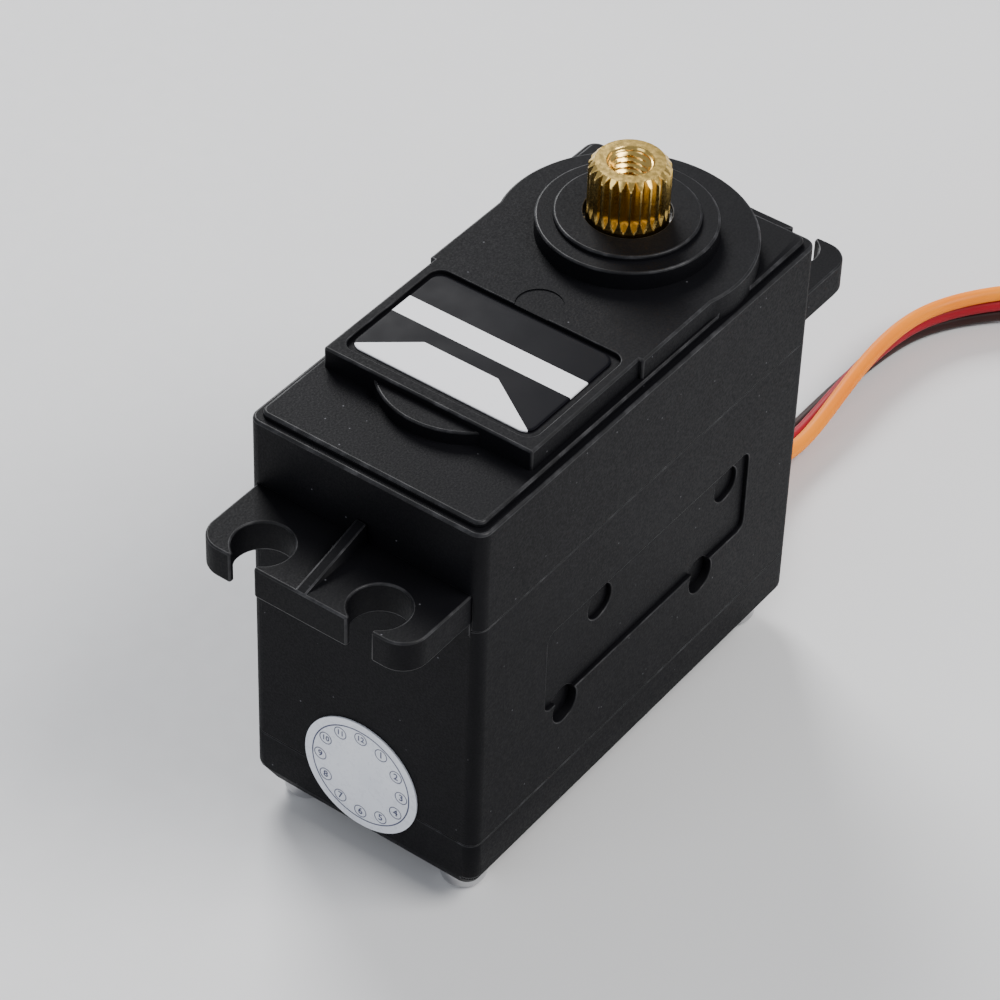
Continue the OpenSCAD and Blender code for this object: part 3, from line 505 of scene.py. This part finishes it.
# %% [markdown]
# ## Connector
# The housing holds three sockets side by side. Over each one is a small window, in which the
# locking tongue of the metal contact shows. The windows are cut from the softened copy with three
# shallow bars.

# %% Connector windows
plug_low, plug_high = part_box("plug_housing")
plug_piece = softened("plug_shell", "plug_housing", 0.2 * mm, 2)
window_depth = 0.3 * mm
window_size = (3.2 * mm, 1.15 * mm)
tongue_size = (2.6 * mm, 0.7 * mm)
window_x = plug_low.x + 5.2 * mm
tongue_foot = 0.02 * mm
tongue_drop = 0.12 * mm


def bar(name, middle, size, low, high, corner):
    """An upright bar with round corners, from a height to another, about a middle point."""
    loop = round_loop(size[0] / 2, size[1] / 2, corner, 4)
    rings = [np.column_stack([middle[0] + loop[:, 0], middle[1] + loop[:, 1],
                              np.full(len(loop), z)]) for z in (low, high)]
    return lofted(name, np.stack(rings))


tongues = []
for place in (-1, 0, 1):
    window_middle = (window_x, hank_y * mm + place * 2 * wire_pitch)
    cutter = bar("window_cutter", window_middle, window_size, plug_high.z - window_depth,
                 plug_high.z + window_depth, 0.2 * mm)
    cut = plug_piece.modifiers.new("window", "BOOLEAN")
    cut.operation = "DIFFERENCE"
    cut.object = cutter
    bake(plug_piece)
    bpy.data.objects.remove(cutter)
    tongue = bar(f"contact_tongue_{place + 2}", window_middle, tongue_size,
                 plug_high.z - window_depth - tongue_foot, plug_high.z - tongue_drop, 0.15 * mm)
    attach(tongue, "case")
    tongues.append(tongue)
plug_piece.data.set_sharp_from_angle(angle=radians(60))
keep_flat(plug_piece)
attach(plug_piece, "case")
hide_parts("plug_housing")
print("connector faces after the windows:", len(plug_piece.data.polygons))

# %% [markdown]
# ## Output shaft
# The end of the shaft carries 25 pointed teeth for a servo horn. The grooves between them run out
# in a thin collar just above the case, and the tips are chamfered at the top. An M3 thread is cut
# down the middle. The whole tip is one skin: up the outside, over the top and down the thread.

# %% Spline and thread
teeth = 25
stem_radius = 3.0
tip_radius = 2.98
root_radius = 2.52
collar_z = 40.5
run_out = 0.95
shaft_top = 44.8
joint_z = 36.6
straight_levels = (41.7, 44.15)
chamfer_z = 44.22
chamfer_slope = 0.85
groove_share = 0.06
flank_share = 0.77
bore_bottom = 37.3
bore_radius = 1.55
thread_pitch = 0.5
thread_depth = 0.3
thread_swing = 0.28
thread_start = 0.15
thread_fade = 0.3
columns = teeth * 12
around = np.arange(columns) * 2 * pi / columns
stem = [(stem_radius, joint_z), (stem_radius, 40.2), (tip_radius, 40.3), (tip_radius, collar_z)]
rim = [(2.45, shaft_top), (1.74, shaft_top), (1.68, shaft_top - 0.04), (1.6, shaft_top - 0.18)]


def ring_at(radius, z):
    """A ring of points round the shaft's axis. The radius is one number, or one for each point."""
    return np.column_stack([radius * np.cos(around), radius * np.sin(around), np.full(columns, z)])


def tooth_wave(angle):
    """1 on a tooth's narrow crest and 0 in the groove, with straight flanks between."""
    phase = np.abs((angle * teeth / (2 * pi)) % 1 - 0.5) * 2
    return np.clip((phase - groove_share) / flank_share, 0, 1)


def spline_radius(z):
    """Radii round the toothed part at a height. A groove is cut less deep by its lift near the
    collar, so its V gets narrower as it runs out, and a cone cuts the tips at the top."""
    full = tip_radius - root_radius
    lift = full * (1 - np.clip((z - collar_z) / run_out, 0, 1)) ** 1.5
    radius = tip_radius - np.clip(full * (1 - tooth_wave(around)) - lift, 0, full)
    return np.minimum(radius, root_radius + 0.02 + (shaft_top - z) * chamfer_slope)


def thread_radius(z):
    """Radius of the thread's wall: a triangle wave of height and angle, one pitch per turn."""
    phase = (z / thread_pitch - around / (2 * pi)) % 1
    wave = np.abs(phase - 0.5) * 2
    fade = np.clip((shaft_top - thread_start - z) / thread_fade, 0, 1)
    return bore_radius - (thread_depth - thread_swing * wave) * fade


spline_levels = np.r_[np.linspace(collar_z + 0.03, collar_z + run_out, 10),
                      np.linspace(*straight_levels, 6), np.linspace(chamfer_z, shaft_top, 7)]
thread_levels = np.arange(shaft_top - 0.22, bore_bottom, -thread_pitch / 8)
rings = np.array([ring_at(radius, z) for radius, z in stem]
                 + [ring_at(spline_radius(z), z) for z in spline_levels]
                 + [ring_at(radius, z) for radius, z in rim]
                 + [ring_at(thread_radius(z), z) for z in thread_levels])
rings[:, :, 0] += shaft_x
shaft_tip = lofted("shaft_tip", rings * mm, smooth_angle=22)
shaft_wheel = softened("shaft_wheel", "output_gear", 0.05 * mm, 1, lambda place: 0.0, joint_z * mm)
for piece in (shaft_tip, shaft_wheel):
    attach(piece, "output")
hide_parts("output_gear")
print("shaft tip faces:", len(shaft_tip.data.polygons))

# %% [markdown]
# ## Deck label
# The film lies in a shallow recess in the deck. It is a thin rounded rectangle whose edge drops a
# little, because the knife that cuts such a film presses its rim down.

# %% Film
film_low, film_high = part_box("top_label")
film_half_x, film_half_y, film_corner = 5.05 * mm, 7.65 * mm, 0.9 * mm
film_shift_x, film_shift_y = 0.15 * mm, 0.2 * mm


def film_ring(inset, z):
    """The film's outline moved inwards by an inset, at one height."""
    loop = round_loop(film_half_x - inset, film_half_y - inset, film_corner, 9)
    middle_x = (film_low.x + film_high.x) / 2 + film_shift_x
    return np.column_stack([middle_x + loop[:, 0], film_shift_y + loop[:, 1],
                            np.full(len(loop), z)])


film_rings = [film_ring(0, film_low.z), film_ring(0, film_high.z - 0.05 * mm),
              film_ring(0.06 * mm, film_high.z - 0.01 * mm), film_ring(0.16 * mm, film_high.z)]
label_film = lofted("label_film", np.stack(film_rings), smooth_angle=50)
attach(label_film, "case")
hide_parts("top_label")
print("film in mm:", [round(v / mm, 1) for v in label_film.dimensions])

# %% [markdown]
# ## Round label
# A white disc sits on the end wall, across the bottom seam. It carries a ring and twelve small
# circled numbers, like the marks of a plain dial.

# %% Dial marks
dial_low, dial_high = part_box("end_label")
dial_y = (dial_low.y + dial_high.y) / 2
dial_z = (dial_low.z + dial_high.z) / 2
ink_x = dial_low.x - 0.012 * mm
ink_depth = 0.01 * mm
number_radius = 3.66 * mm
one_digit_size, two_digit_size = 0.84 * mm, 0.68 * mm
dial_ring = (4.36 * mm, 0.1 * mm, 96)
number_ring = (0.52 * mm, 0.07 * mm, 28)
dial_turn = Matrix(((0, 0, -1, 0), (-1, 0, 0, 0), (0, 1, 0, 0), (0, 0, 0, 1)))


def flat_ring(centre_y, centre_z, radius, line, steps):
    """A thin flat ring facing -X: four circles joined into a closed loop with a square section."""
    a = np.arange(steps) * 2 * pi / steps
    loops = [(radius - line / 2, ink_x), (radius + line / 2, ink_x),
             (radius + line / 2, ink_x + ink_depth), (radius - line / 2, ink_x + ink_depth)]
    rings = np.stack([np.column_stack([np.full(steps, x), centre_y + r * np.cos(a),
                                       centre_z + r * np.sin(a)]) for r, x in loops])
    faces = grid_faces(4, steps, True)
    return rings.reshape(-1, 3), faces


def number_mesh(text, size):
    """A number as a mesh in its own plane, centred on the origin, with a little depth."""
    curve = bpy.data.curves.new("number", "FONT")
    curve.body = text
    curve.size = size
    curve.extrude = ink_depth / 2
    curve.offset = 0.014 * mm
    curve.resolution_u = 3
    curve.align_x = "CENTER"
    curve.align_y = "CENTER"
    holder = bpy.data.objects.new("number", curve)
    bpy.context.scene.collection.objects.link(holder)
    graph = bpy.context.evaluated_depsgraph_get()
    mesh = bpy.data.meshes.new_from_object(holder.evaluated_get(graph))
    bpy.data.objects.remove(holder)
    return mesh


ink = bmesh.new()
for number in range(1, 13):
    spot = pi / 2 - number * pi / 6
    y = dial_y - number_radius * cos(spot)
    z = dial_z + number_radius * sin(spot)
    digits = number_mesh(str(number), one_digit_size if number < 10 else two_digit_size)
    digits.transform(Matrix.Translation((ink_x + ink_depth / 2, y, z)) @ dial_turn)
    ink.from_mesh(digits)
    bpy.data.meshes.remove(digits)
bmesh.ops.remove_doubles(ink, verts=ink.verts, dist=1e-8)
bmesh.ops.recalc_face_normals(ink, faces=ink.faces)
ink_mesh = bpy.data.meshes.new("dial_numbers")
ink.to_mesh(ink_mesh)
ink.free()
dial_numbers = bpy.data.objects.new("dial_numbers", ink_mesh)
bpy.context.scene.collection.objects.link(dial_numbers)

circles = [(dial_y, dial_z, *dial_ring)]
for number in range(12):
    spot = number * pi / 6
    circles.append((dial_y + number_radius * cos(spot), dial_z + number_radius * sin(spot),
                    *number_ring))
all_points, all_faces, first = [], [], 0
for circle in circles:
    points, faces = flat_ring(*circle)
    all_points.append(points)
    all_faces += (faces + first).tolist()
    first += len(points)
dial_rings = outward(piece_from("dial_rings", np.vstack(all_points), all_faces))
for piece in (dial_numbers, dial_rings):
    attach(piece, "case")
print("dial circles:", len(circles))

# %% [markdown]
# ## Finishes
# Each finish is a small node tree on object coordinates. Slow noise varies the colour, fast noise
# gives the grain, and the grain feeds roughness and bump, so no surface is one flat value.


# %% Node helpers
def start_material(name, roughness, metallic=0.0, **fixed):
    """A material with its shader and its object coordinates. Values that are the same everywhere
    are set on the shader's own sockets."""
    material = bpy.data.materials.new(name)
    material.use_nodes = True
    tree = material.node_tree
    shader = tree.nodes["Principled BSDF"]
    shader.inputs["Roughness"].default_value = roughness
    shader.inputs["Metallic"].default_value = metallic
    for socket, value in fixed.items():
        shader.inputs[socket.replace("_", " ")].default_value = value
    coordinates = tree.nodes.new("ShaderNodeTexCoord").outputs["Object"]
    return material, tree, shader, coordinates


def noise(tree, coordinates, size, detail=3.0, stretch=None):
    """Noise whose patches are about size metres wide. stretch squeezes the pattern along each
    axis."""
    if stretch is not None:
        mapping = tree.nodes.new("ShaderNodeMapping")
        mapping.inputs["Scale"].default_value = stretch
        tree.links.new(coordinates, mapping.inputs["Vector"])
        coordinates = mapping.outputs["Vector"]
    texture = tree.nodes.new("ShaderNodeTexNoise")
    texture.inputs["Scale"].default_value = 1 / size
    texture.inputs["Detail"].default_value = detail
    tree.links.new(coordinates, texture.inputs["Vector"])
    return texture.outputs["Fac"]


def ramp(tree, value, *stops):
    """Colours along a value. Each stop is a place from 0 to 1 and a colour of three numbers."""
    node = tree.nodes.new("ShaderNodeValToRGB")
    elements = node.color_ramp.elements
    while len(elements) < len(stops):
        elements.new(0.5)
    for element, (place, colour) in zip(elements, stops):
        element.position = place
        element.color = (*colour, 1)
    tree.links.new(value, node.inputs["Fac"])
    return node.outputs["Color"]


def scaled(tree, value, low, high):
    """A value from 0 to 1 spread from low to high."""
    node = tree.nodes.new("ShaderNodeMapRange")
    node.inputs["From Min"].default_value = 0.3
    node.inputs["From Max"].default_value = 0.7
    node.inputs["To Min"].default_value = low
    node.inputs["To Max"].default_value = high
    tree.links.new(value, node.inputs["Value"])
    return node.outputs["Result"]


def bump(tree, shader, height, depth, strength=1.0):
    """Raises the surface by a height from 0 to 1, depth metres at most."""
    node = tree.nodes.new("ShaderNodeBump")
    node.inputs["Distance"].default_value = depth
    node.inputs["Strength"].default_value = strength
    tree.links.new(height, node.inputs["Height"])
    tree.links.new(node.outputs["Normal"], shader.inputs["Normal"])


def grained(name, dark, light, roughness, grain, depth, metallic=0.0, patch=4 * mm, stretch=None,
            spread=0.06, **fixed):
    """A general finish: colour drifts between dark and light over patches, and a fine grain of the
    given size roughens and lifts the surface."""
    material, tree, shader, coordinates = start_material(name, roughness, metallic, **fixed)
    drift = noise(tree, coordinates, patch, 4)
    tree.links.new(ramp(tree, drift, (0.35, dark), (0.65, light)), shader.inputs["Base Color"])
    fine = noise(tree, coordinates, grain, 2, stretch)
    tree.links.new(scaled(tree, fine, roughness - spread, roughness + spread),
                   shader.inputs["Roughness"])
    bump(tree, shader, fine, depth)
    return material


# %% [markdown]
# ### Moulded case
# Glass-filled nylon from a spark-eroded mould is a dark grey-black with a fine even grain. A few
# specks of dust sit on it, and they are what makes the black read as real at close range.

# %% Case plastic
case_black, tree, shader, coordinates = start_material("case_plastic", 0.56, Specular_IOR_Level=0.1)
drift = noise(tree, coordinates, 7 * mm, 4)
body_colour = ramp(tree, drift, (0.3, (0.0024, 0.0024, 0.0034)), (0.7, (0.0040, 0.0040, 0.0053)))
specks = tree.nodes.new("ShaderNodeTexVoronoi")
specks.inputs["Scale"].default_value = 1 / (1.6 * mm)
tree.links.new(coordinates, specks.inputs["Vector"])
speck_mask = ramp(tree, specks.outputs["Distance"], (0.028, (1, 1, 1)), (0.05, (0, 0, 0)))
# A colour mix takes its share at input 0 and its two colours at 6 and 7, and gives its result at 2
MIX_SHARE, MIX_FIRST, MIX_SECOND, MIX_RESULT = 0, 6, 7, 2
dusty = tree.nodes.new("ShaderNodeMix")
dusty.data_type = "RGBA"
dusty.inputs[MIX_SECOND].default_value = (0.10, 0.10, 0.11, 1)
tree.links.new(speck_mask, dusty.inputs[MIX_SHARE])
tree.links.new(body_colour, dusty.inputs[MIX_FIRST])
tree.links.new(dusty.outputs[MIX_RESULT], shader.inputs["Base Color"])
erosion = noise(tree, coordinates, 0.16 * mm, 3)
tree.links.new(scaled(tree, erosion, 0.5, 0.66), shader.inputs["Roughness"])
bump(tree, shader, erosion, 0.012 * mm)

# %% [markdown]
# ### Rubbed edges and painted highlight
# Handling polishes the corners of such a case first and leaves a little dust there. The rounds have
# their own finish: smoother and a shade lighter, and broken up along the edge by a noise. Part of
# that lighter shade is a painted highlight, for the light that a rounded edge catches.

# %% Edge plastic
rubbed_edge_and_highlight, tree, shader, coordinates = start_material("rubbed_edge_and_highlight", 0.45,
                                                        Specular_IOR_Level=0.25)
rub_and_highlight = noise(tree, coordinates, 1.3 * mm, 5)
# Dark to light along the noise: real rubbing and dust, and a painted highlight on the rounds
tree.links.new(ramp(tree, rub_and_highlight, (0.38, (0.005, 0.005, 0.006)), (0.52, (0.011, 0.011, 0.013)),
                    (0.68, (0.036, 0.036, 0.039))), shader.inputs["Base Color"])
tree.links.new(scaled(tree, rub_and_highlight, 0.5, 0.38), shader.inputs["Roughness"])
bump(tree, shader, noise(tree, coordinates, 0.2 * mm, 2), 0.004 * mm)

# %% [markdown]
# ### Deck label
# The printed film is glossy black with one white stripe and one white wedge. Straight lines in
# object coordinates bound them, so the print is sharp at any distance.

# %% Printed film
printed_film, tree, shader, coordinates = start_material("printed_film", 0.45,
                                                         Specular_IOR_Level=0.07)
split = tree.nodes.new("ShaderNodeSeparateXYZ")
tree.links.new(coordinates, split.inputs["Vector"])


def side_of_line(tree, split, x_share, y_share, limit):
    """1 where x_share times x plus y_share times y, both in mm, is over the limit, and 0
    elsewhere."""
    parts = []
    for axis, share in (("X", x_share), ("Y", y_share)):
        times = tree.nodes.new("ShaderNodeMath")
        times.operation = "MULTIPLY"
        times.inputs[1].default_value = share / mm
        tree.links.new(split.outputs[axis], times.inputs[0])
        parts.append(times.outputs[0])
    total = tree.nodes.new("ShaderNodeMath")
    tree.links.new(parts[0], total.inputs[0])
    tree.links.new(parts[1], total.inputs[1])
    over_limit = tree.nodes.new("ShaderNodeMath")
    over_limit.operation = "GREATER_THAN"
    over_limit.inputs[1].default_value = limit
    tree.links.new(total.outputs[0], over_limit.inputs[0])
    return over_limit.outputs[0]


def all_of(tree, masks):
    """The product of several masks: 1 only where every one is 1."""
    result = masks[0]
    for mask in masks[1:]:
        times = tree.nodes.new("ShaderNodeMath")
        times.operation = "MULTIPLY"
        tree.links.new(result, times.inputs[0])
        tree.links.new(mask, times.inputs[1])
        result = times.outputs[0]
    return result


stripe = all_of(tree, [side_of_line(tree, split, 1, 0, -6.95),
                       side_of_line(tree, split, -1, 0, 4.9)])
wedge = all_of(tree, [side_of_line(tree, split, -1, 0, 8.35),
                      side_of_line(tree, split, -1.246, -1, 6.5),
                      side_of_line(tree, split, -1.541, 1, 10.47)])
either = tree.nodes.new("ShaderNodeMath")
either.operation = "MAXIMUM"
tree.links.new(stripe, either.inputs[0])
tree.links.new(wedge, either.inputs[1])
print_colour = ramp(tree, either.outputs[0], (0.4, (0.003, 0.003, 0.005)),
                    (0.6, (0.86, 0.86, 0.89)))
tree.links.new(print_colour, shader.inputs["Base Color"])
film_wave = noise(tree, coordinates, 2.5 * mm, 2)
tree.links.new(scaled(tree, film_wave, 0.4, 0.5), shader.inputs["Roughness"])
bump(tree, shader, film_wave, 0.004 * mm)

# %% [markdown]
# ### Metals
# Turned brass shows fine rings around its axis, ground pins show fine lines, and pressed steel is
# duller. One helper makes them all: only colour, grain and the direction of the lines differ.

# %% Metals
cut_brass = grained("cut_brass", (0.70, 0.46, 0.12), (0.88, 0.61, 0.19), 0.2, 0.4 * mm, 0.0012 * mm,
                    1.0, stretch=(1, 1, 4), spread=0.05)
gear_brass = grained("gear_brass", (0.58, 0.40, 0.16), (0.72, 0.52, 0.24), 0.3, 0.2 * mm,
                     0.003 * mm, 1.0, stretch=(1, 1, 4))
bright_steel = grained("bright_steel", (0.58, 0.58, 0.59), (0.74, 0.74, 0.75), 0.22, 0.15 * mm,
                       0.002 * mm, 1.0, stretch=(1, 1, 6))
screw_steel = grained("screw_steel", (0.46, 0.46, 0.47), (0.6, 0.6, 0.61), 0.15, 0.5 * mm,
                      0.0008 * mm, 1.0)
can_steel = grained("can_steel", (0.44, 0.45, 0.46), (0.56, 0.57, 0.58), 0.36, 0.25 * mm,
                    0.004 * mm, 1.0, stretch=(1, 1, 0.2))
lamination_steel = grained("lamination_steel", (0.3, 0.3, 0.32), (0.45, 0.45, 0.47), 0.45,
                           0.18 * mm, 0.01 * mm, 1.0, stretch=(0.1, 0.1, 3))
sintered_bronze = grained("sintered_bronze", (0.42, 0.27, 0.12), (0.58, 0.40, 0.20), 0.48,
                          0.12 * mm, 0.012 * mm, 1.0)
enamelled_copper = grained("enamelled_copper", (0.45, 0.16, 0.05), (0.62, 0.26, 0.1), 0.3,
                           0.16 * mm, 0.03 * mm, 0.9, stretch=(0.3, 0.3, 2.5), Coat_Weight=0.5)
gold_contact = grained("gold_contact", (0.72, 0.52, 0.2), (0.86, 0.66, 0.3), 0.22, 0.2 * mm,
                       0.002 * mm, 1.0)
ferrite = grained("ferrite", (0.035, 0.035, 0.038), (0.07, 0.07, 0.075), 0.6, 0.2 * mm, 0.012 * mm,
                  0.3)
pressed_carbon = grained("pressed_carbon", (0.02, 0.02, 0.021), (0.05, 0.048, 0.046), 0.5,
                         0.12 * mm, 0.008 * mm, 0.2)

# %% [markdown]
# ### Plastics, rubber and insulation
# Moulded plastics differ in gloss and in how deep their grain is. Insulation is satin, with faint
# lines drawn along the wire.

# %% Plastics and insulation
white_film = grained("white_film", (0.76, 0.79, 0.86), (0.83, 0.86, 0.92), 0.3, 0.5 * mm,
                     0.003 * mm, Coat_Weight=0.3)
ink_blue = grained("ink_blue", (0.02, 0.025, 0.09), (0.05, 0.055, 0.14), 0.45, 0.1 * mm, 0.001 * mm)
grommet_rubber = grained("grommet_rubber", (0.014, 0.014, 0.015), (0.024, 0.024, 0.025), 0.62,
                         0.2 * mm, 0.01 * mm)
tie_nylon = grained("tie_nylon", (0.012, 0.012, 0.013), (0.02, 0.02, 0.021), 0.4, 0.3 * mm,
                    0.004 * mm)
plug_black = grained("plug_black", (0.016, 0.016, 0.017), (0.026, 0.026, 0.027), 0.42, 0.25 * mm,
                     0.006 * mm)
ivory_plastic = grained("ivory_plastic", (0.66, 0.63, 0.55), (0.74, 0.71, 0.63), 0.45, 0.3 * mm,
                        0.005 * mm)
blue_plastic = grained("blue_plastic", (0.02, 0.06, 0.2), (0.03, 0.09, 0.28), 0.4, 0.3 * mm,
                       0.004 * mm)
white_plastic = grained("white_plastic", (0.66, 0.66, 0.64), (0.76, 0.76, 0.74), 0.42, 0.3 * mm,
                        0.004 * mm)
chip_epoxy = grained("chip_epoxy", (0.02, 0.02, 0.021), (0.035, 0.035, 0.036), 0.5, 0.12 * mm,
                     0.006 * mm)
capacitor_sleeve = grained("capacitor_sleeve", (0.02, 0.02, 0.05), (0.03, 0.03, 0.07), 0.28,
                           0.4 * mm, 0.003 * mm)
tan_ceramic = grained("tan_ceramic", (0.42, 0.32, 0.2), (0.52, 0.42, 0.28), 0.5, 0.1 * mm,
                      0.004 * mm)
red_lead = grained("red_lead", (0.38, 0.02, 0.02), (0.5, 0.04, 0.03), 0.4, 0.3 * mm, 0.003 * mm)


def insulation(name, dark, light):
    """Soft satin insulation. The colour drifts along the wire, and faint drawn lines follow it,
    because the noise is read in the tube's own map and is 12 times finer round the tube than along
    it."""
    material, tree, shader, coordinates = start_material(name, 0.46, Specular_IOR_Level=0.25)
    drift = noise(tree, coordinates, 9 * mm, 3)
    tree.links.new(ramp(tree, drift, (0.35, dark), (0.65, light)), shader.inputs["Base Color"])
    wrap = tree.nodes.new("ShaderNodeTexCoord").outputs["UV"]
    lines = noise(tree, wrap, 1.0, 3, (12, 1, 1))
    tree.links.new(scaled(tree, lines, 0.4, 0.52), shader.inputs["Roughness"])
    bump(tree, shader, lines, 0.006 * mm)
    return material


orange_insulation = insulation("orange_insulation", (0.98, 0.24, 0.002), (1.0, 0.30, 0.004))
red_insulation = insulation("red_insulation", (0.30, 0.002, 0.012), (0.38, 0.004, 0.018))
brown_insulation = insulation("brown_insulation", (0.022, 0.006, 0.005), (0.036, 0.010, 0.008))

# %% [markdown]
# ### Circuit board
# Green solder mask lies over copper tracks. Narrow bands of a brick pattern stand for the tracks, a
# shade lighter than the mask and a little raised.

# %% Board
solder_mask, tree, shader, coordinates = start_material("solder_mask", 0.3, Coat_Weight=0.4)
tracks = tree.nodes.new("ShaderNodeTexBrick")
tracks.inputs["Scale"].default_value = 1 / (2.4 * mm)
tracks.inputs["Mortar Size"].default_value = 0.08
tracks.inputs["Color1"].default_value = (0.012, 0.10, 0.035, 1)
tracks.inputs["Color2"].default_value = (0.016, 0.12, 0.04, 1)
tracks.inputs["Mortar"].default_value = (0.05, 0.24, 0.08, 1)
tree.links.new(coordinates, tracks.inputs["Vector"])
tree.links.new(tracks.outputs["Color"], shader.inputs["Base Color"])
weave = noise(tree, coordinates, 0.4 * mm, 2)
tree.links.new(scaled(tree, weave, 0.24, 0.38), shader.inputs["Roughness"])
bump(tree, shader, tracks.outputs["Fac"], 0.02 * mm)

# %% [markdown]
# ## Painting
# A new piece takes one material, and a CAD node gets its finish through its own material slot.


# %% Give every piece its finish
def paint(material, slot, *pieces):
    """Gives new pieces a material. The slot, the name of the record's slot that it stands for, is
    not used.
    """
    for piece in pieces:
        piece.data.materials.clear()
        piece.data.materials.append(material)


def paint_soft(material, edge_material, slot, *pieces):
    """Gives softened copies one material for their faces and one for their rounds."""
    for piece in pieces:
        piece.data.materials[0] = material
        piece.data.materials[1] = edge_material


def paint_nodes(material, *names):
    """Puts a material on CAD nodes, through their own slots."""
    for name in names:
        for slot in nodes[name].material_slots:
            slot.material = material


paint_soft(case_black, rubbed_edge_and_highlight, "case_plastic", top_shell, middle_shell, bottom_shell)
paint_soft(grommet_rubber, grommet_rubber, "cable_rubber", grommet)
paint_soft(screw_steel, screw_steel, "screw_steel", screw_set)
paint(cut_brass, "brass", shaft_tip)
paint_soft(gear_brass, gear_brass, "brass", shaft_wheel)
paint(printed_film, "deck_label", label_film)
paint(ink_blue, "end_label", dial_numbers, dial_rings)
paint(orange_insulation, "signal_insulation", signal_wire)
paint(red_insulation, "power_insulation", power_wire)
paint(brown_insulation, "ground_insulation", ground_wire)
paint(tie_nylon, "tie_plastic", tie_band, tie_head)
paint(gold_contact, "contact", *tongues)
paint_soft(plug_black, plug_black, "plug_plastic", plug_piece)
paint_nodes(white_film, "end_label")
paint_nodes(gear_brass, "motor_pinion", "first_gear", "third_gear", "bearing_cage",
            "motor_terminals", "sensor_wiper")
paint_nodes(bright_steel, "centre_pin", "rear_pin", "motor_shaft", "bearing_outer_race",
            "bearing_inner_race", "bearing_balls", "second_gear", "sensor_terminals")
paint_nodes(screw_steel, "motor_screws")
paint_nodes(can_steel, "motor_can")
paint_nodes(lamination_steel, "armature_core")
paint_nodes(sintered_bronze, "motor_front_bush", "motor_rear_bush", "lower_bush")
paint_nodes(enamelled_copper, "armature_windings", "commutator")
paint_nodes(ferrite, "motor_magnets")
paint_nodes(pressed_carbon, "motor_brushes", "sensor_track")
paint_nodes(ivory_plastic, "motor_end_bell")
paint_nodes(blue_plastic, "sensor_body")
paint_nodes(white_plastic, "sensor_shaft")
paint_nodes(solder_mask, "circuit_board")
paint_nodes(chip_epoxy, "control_chip", "motor_driver_chips")
paint_nodes(capacitor_sleeve, "capacitor")
paint_nodes(tan_ceramic, "small_components")
paint_nodes(red_lead, "board_leads")
paint_nodes(gold_contact, "plug_contacts")
print("materials:", len(bpy.data.materials))

# %% [markdown]
# ## Floor and light
# A pale plain floor and three large soft lights. The key light stands on the near side towards the
# shaft end, a weak fill light on the motor end, and the strongest light shines from behind. So the
# top is brightest and the motor end is the darkest face.

# %% Floor
floor_size = 4.0
floor_z = -0.02 * mm
floor_corners = np.array([(-1, -1, 0), (1, -1, 0), (1, 1, 0), (-1, 1, 0)]) * floor_size / 2
floor = piece_from("floor", floor_corners + np.array([0, 0, floor_z]), [(0, 1, 2, 3)])
floor_paper = grained("floor_paper", (0.76, 0.76, 0.77), (0.79, 0.79, 0.795), 0.7, 1.5 * mm,
                      0.01 * mm, patch=60 * mm)
floor.data.materials.append(floor_paper)


# %% Lights
def soft_light(name, place, aim, size, power, colour=(1, 1, 1)):
    """A square light of the given size in metres, turned towards a point."""
    data = bpy.data.lights.new(name, "AREA")
    data.size = size
    data.energy = power
    data.color = colour
    lamp = bpy.data.objects.new(name, data)
    lamp.location = place
    lamp.rotation_euler = (Vector(aim) - Vector(place)).to_track_quat("-Z", "Y").to_euler()
    bpy.context.scene.collection.objects.link(lamp)
    return lamp


aim = (0, 0, 0.02)
soft_light("key_light", (0.10, -0.34, 0.46), aim, 0.30, 3.0, (1, 0.985, 0.96))
soft_light("fill_light", (-0.52, 0.12, 0.34), aim, 0.35, 0.9, (0.9, 0.94, 1))
soft_light("back_light", (0.30, 0.42, 0.42), aim, 0.25, 4.2)
world = bpy.data.worlds.new("soft_room")
world.use_nodes = True
world.node_tree.nodes["Background"].inputs["Color"].default_value = (0.9, 0.93, 1, 1)
world.node_tree.nodes["Background"].inputs["Strength"].default_value = 0.36
bpy.context.scene.world = world
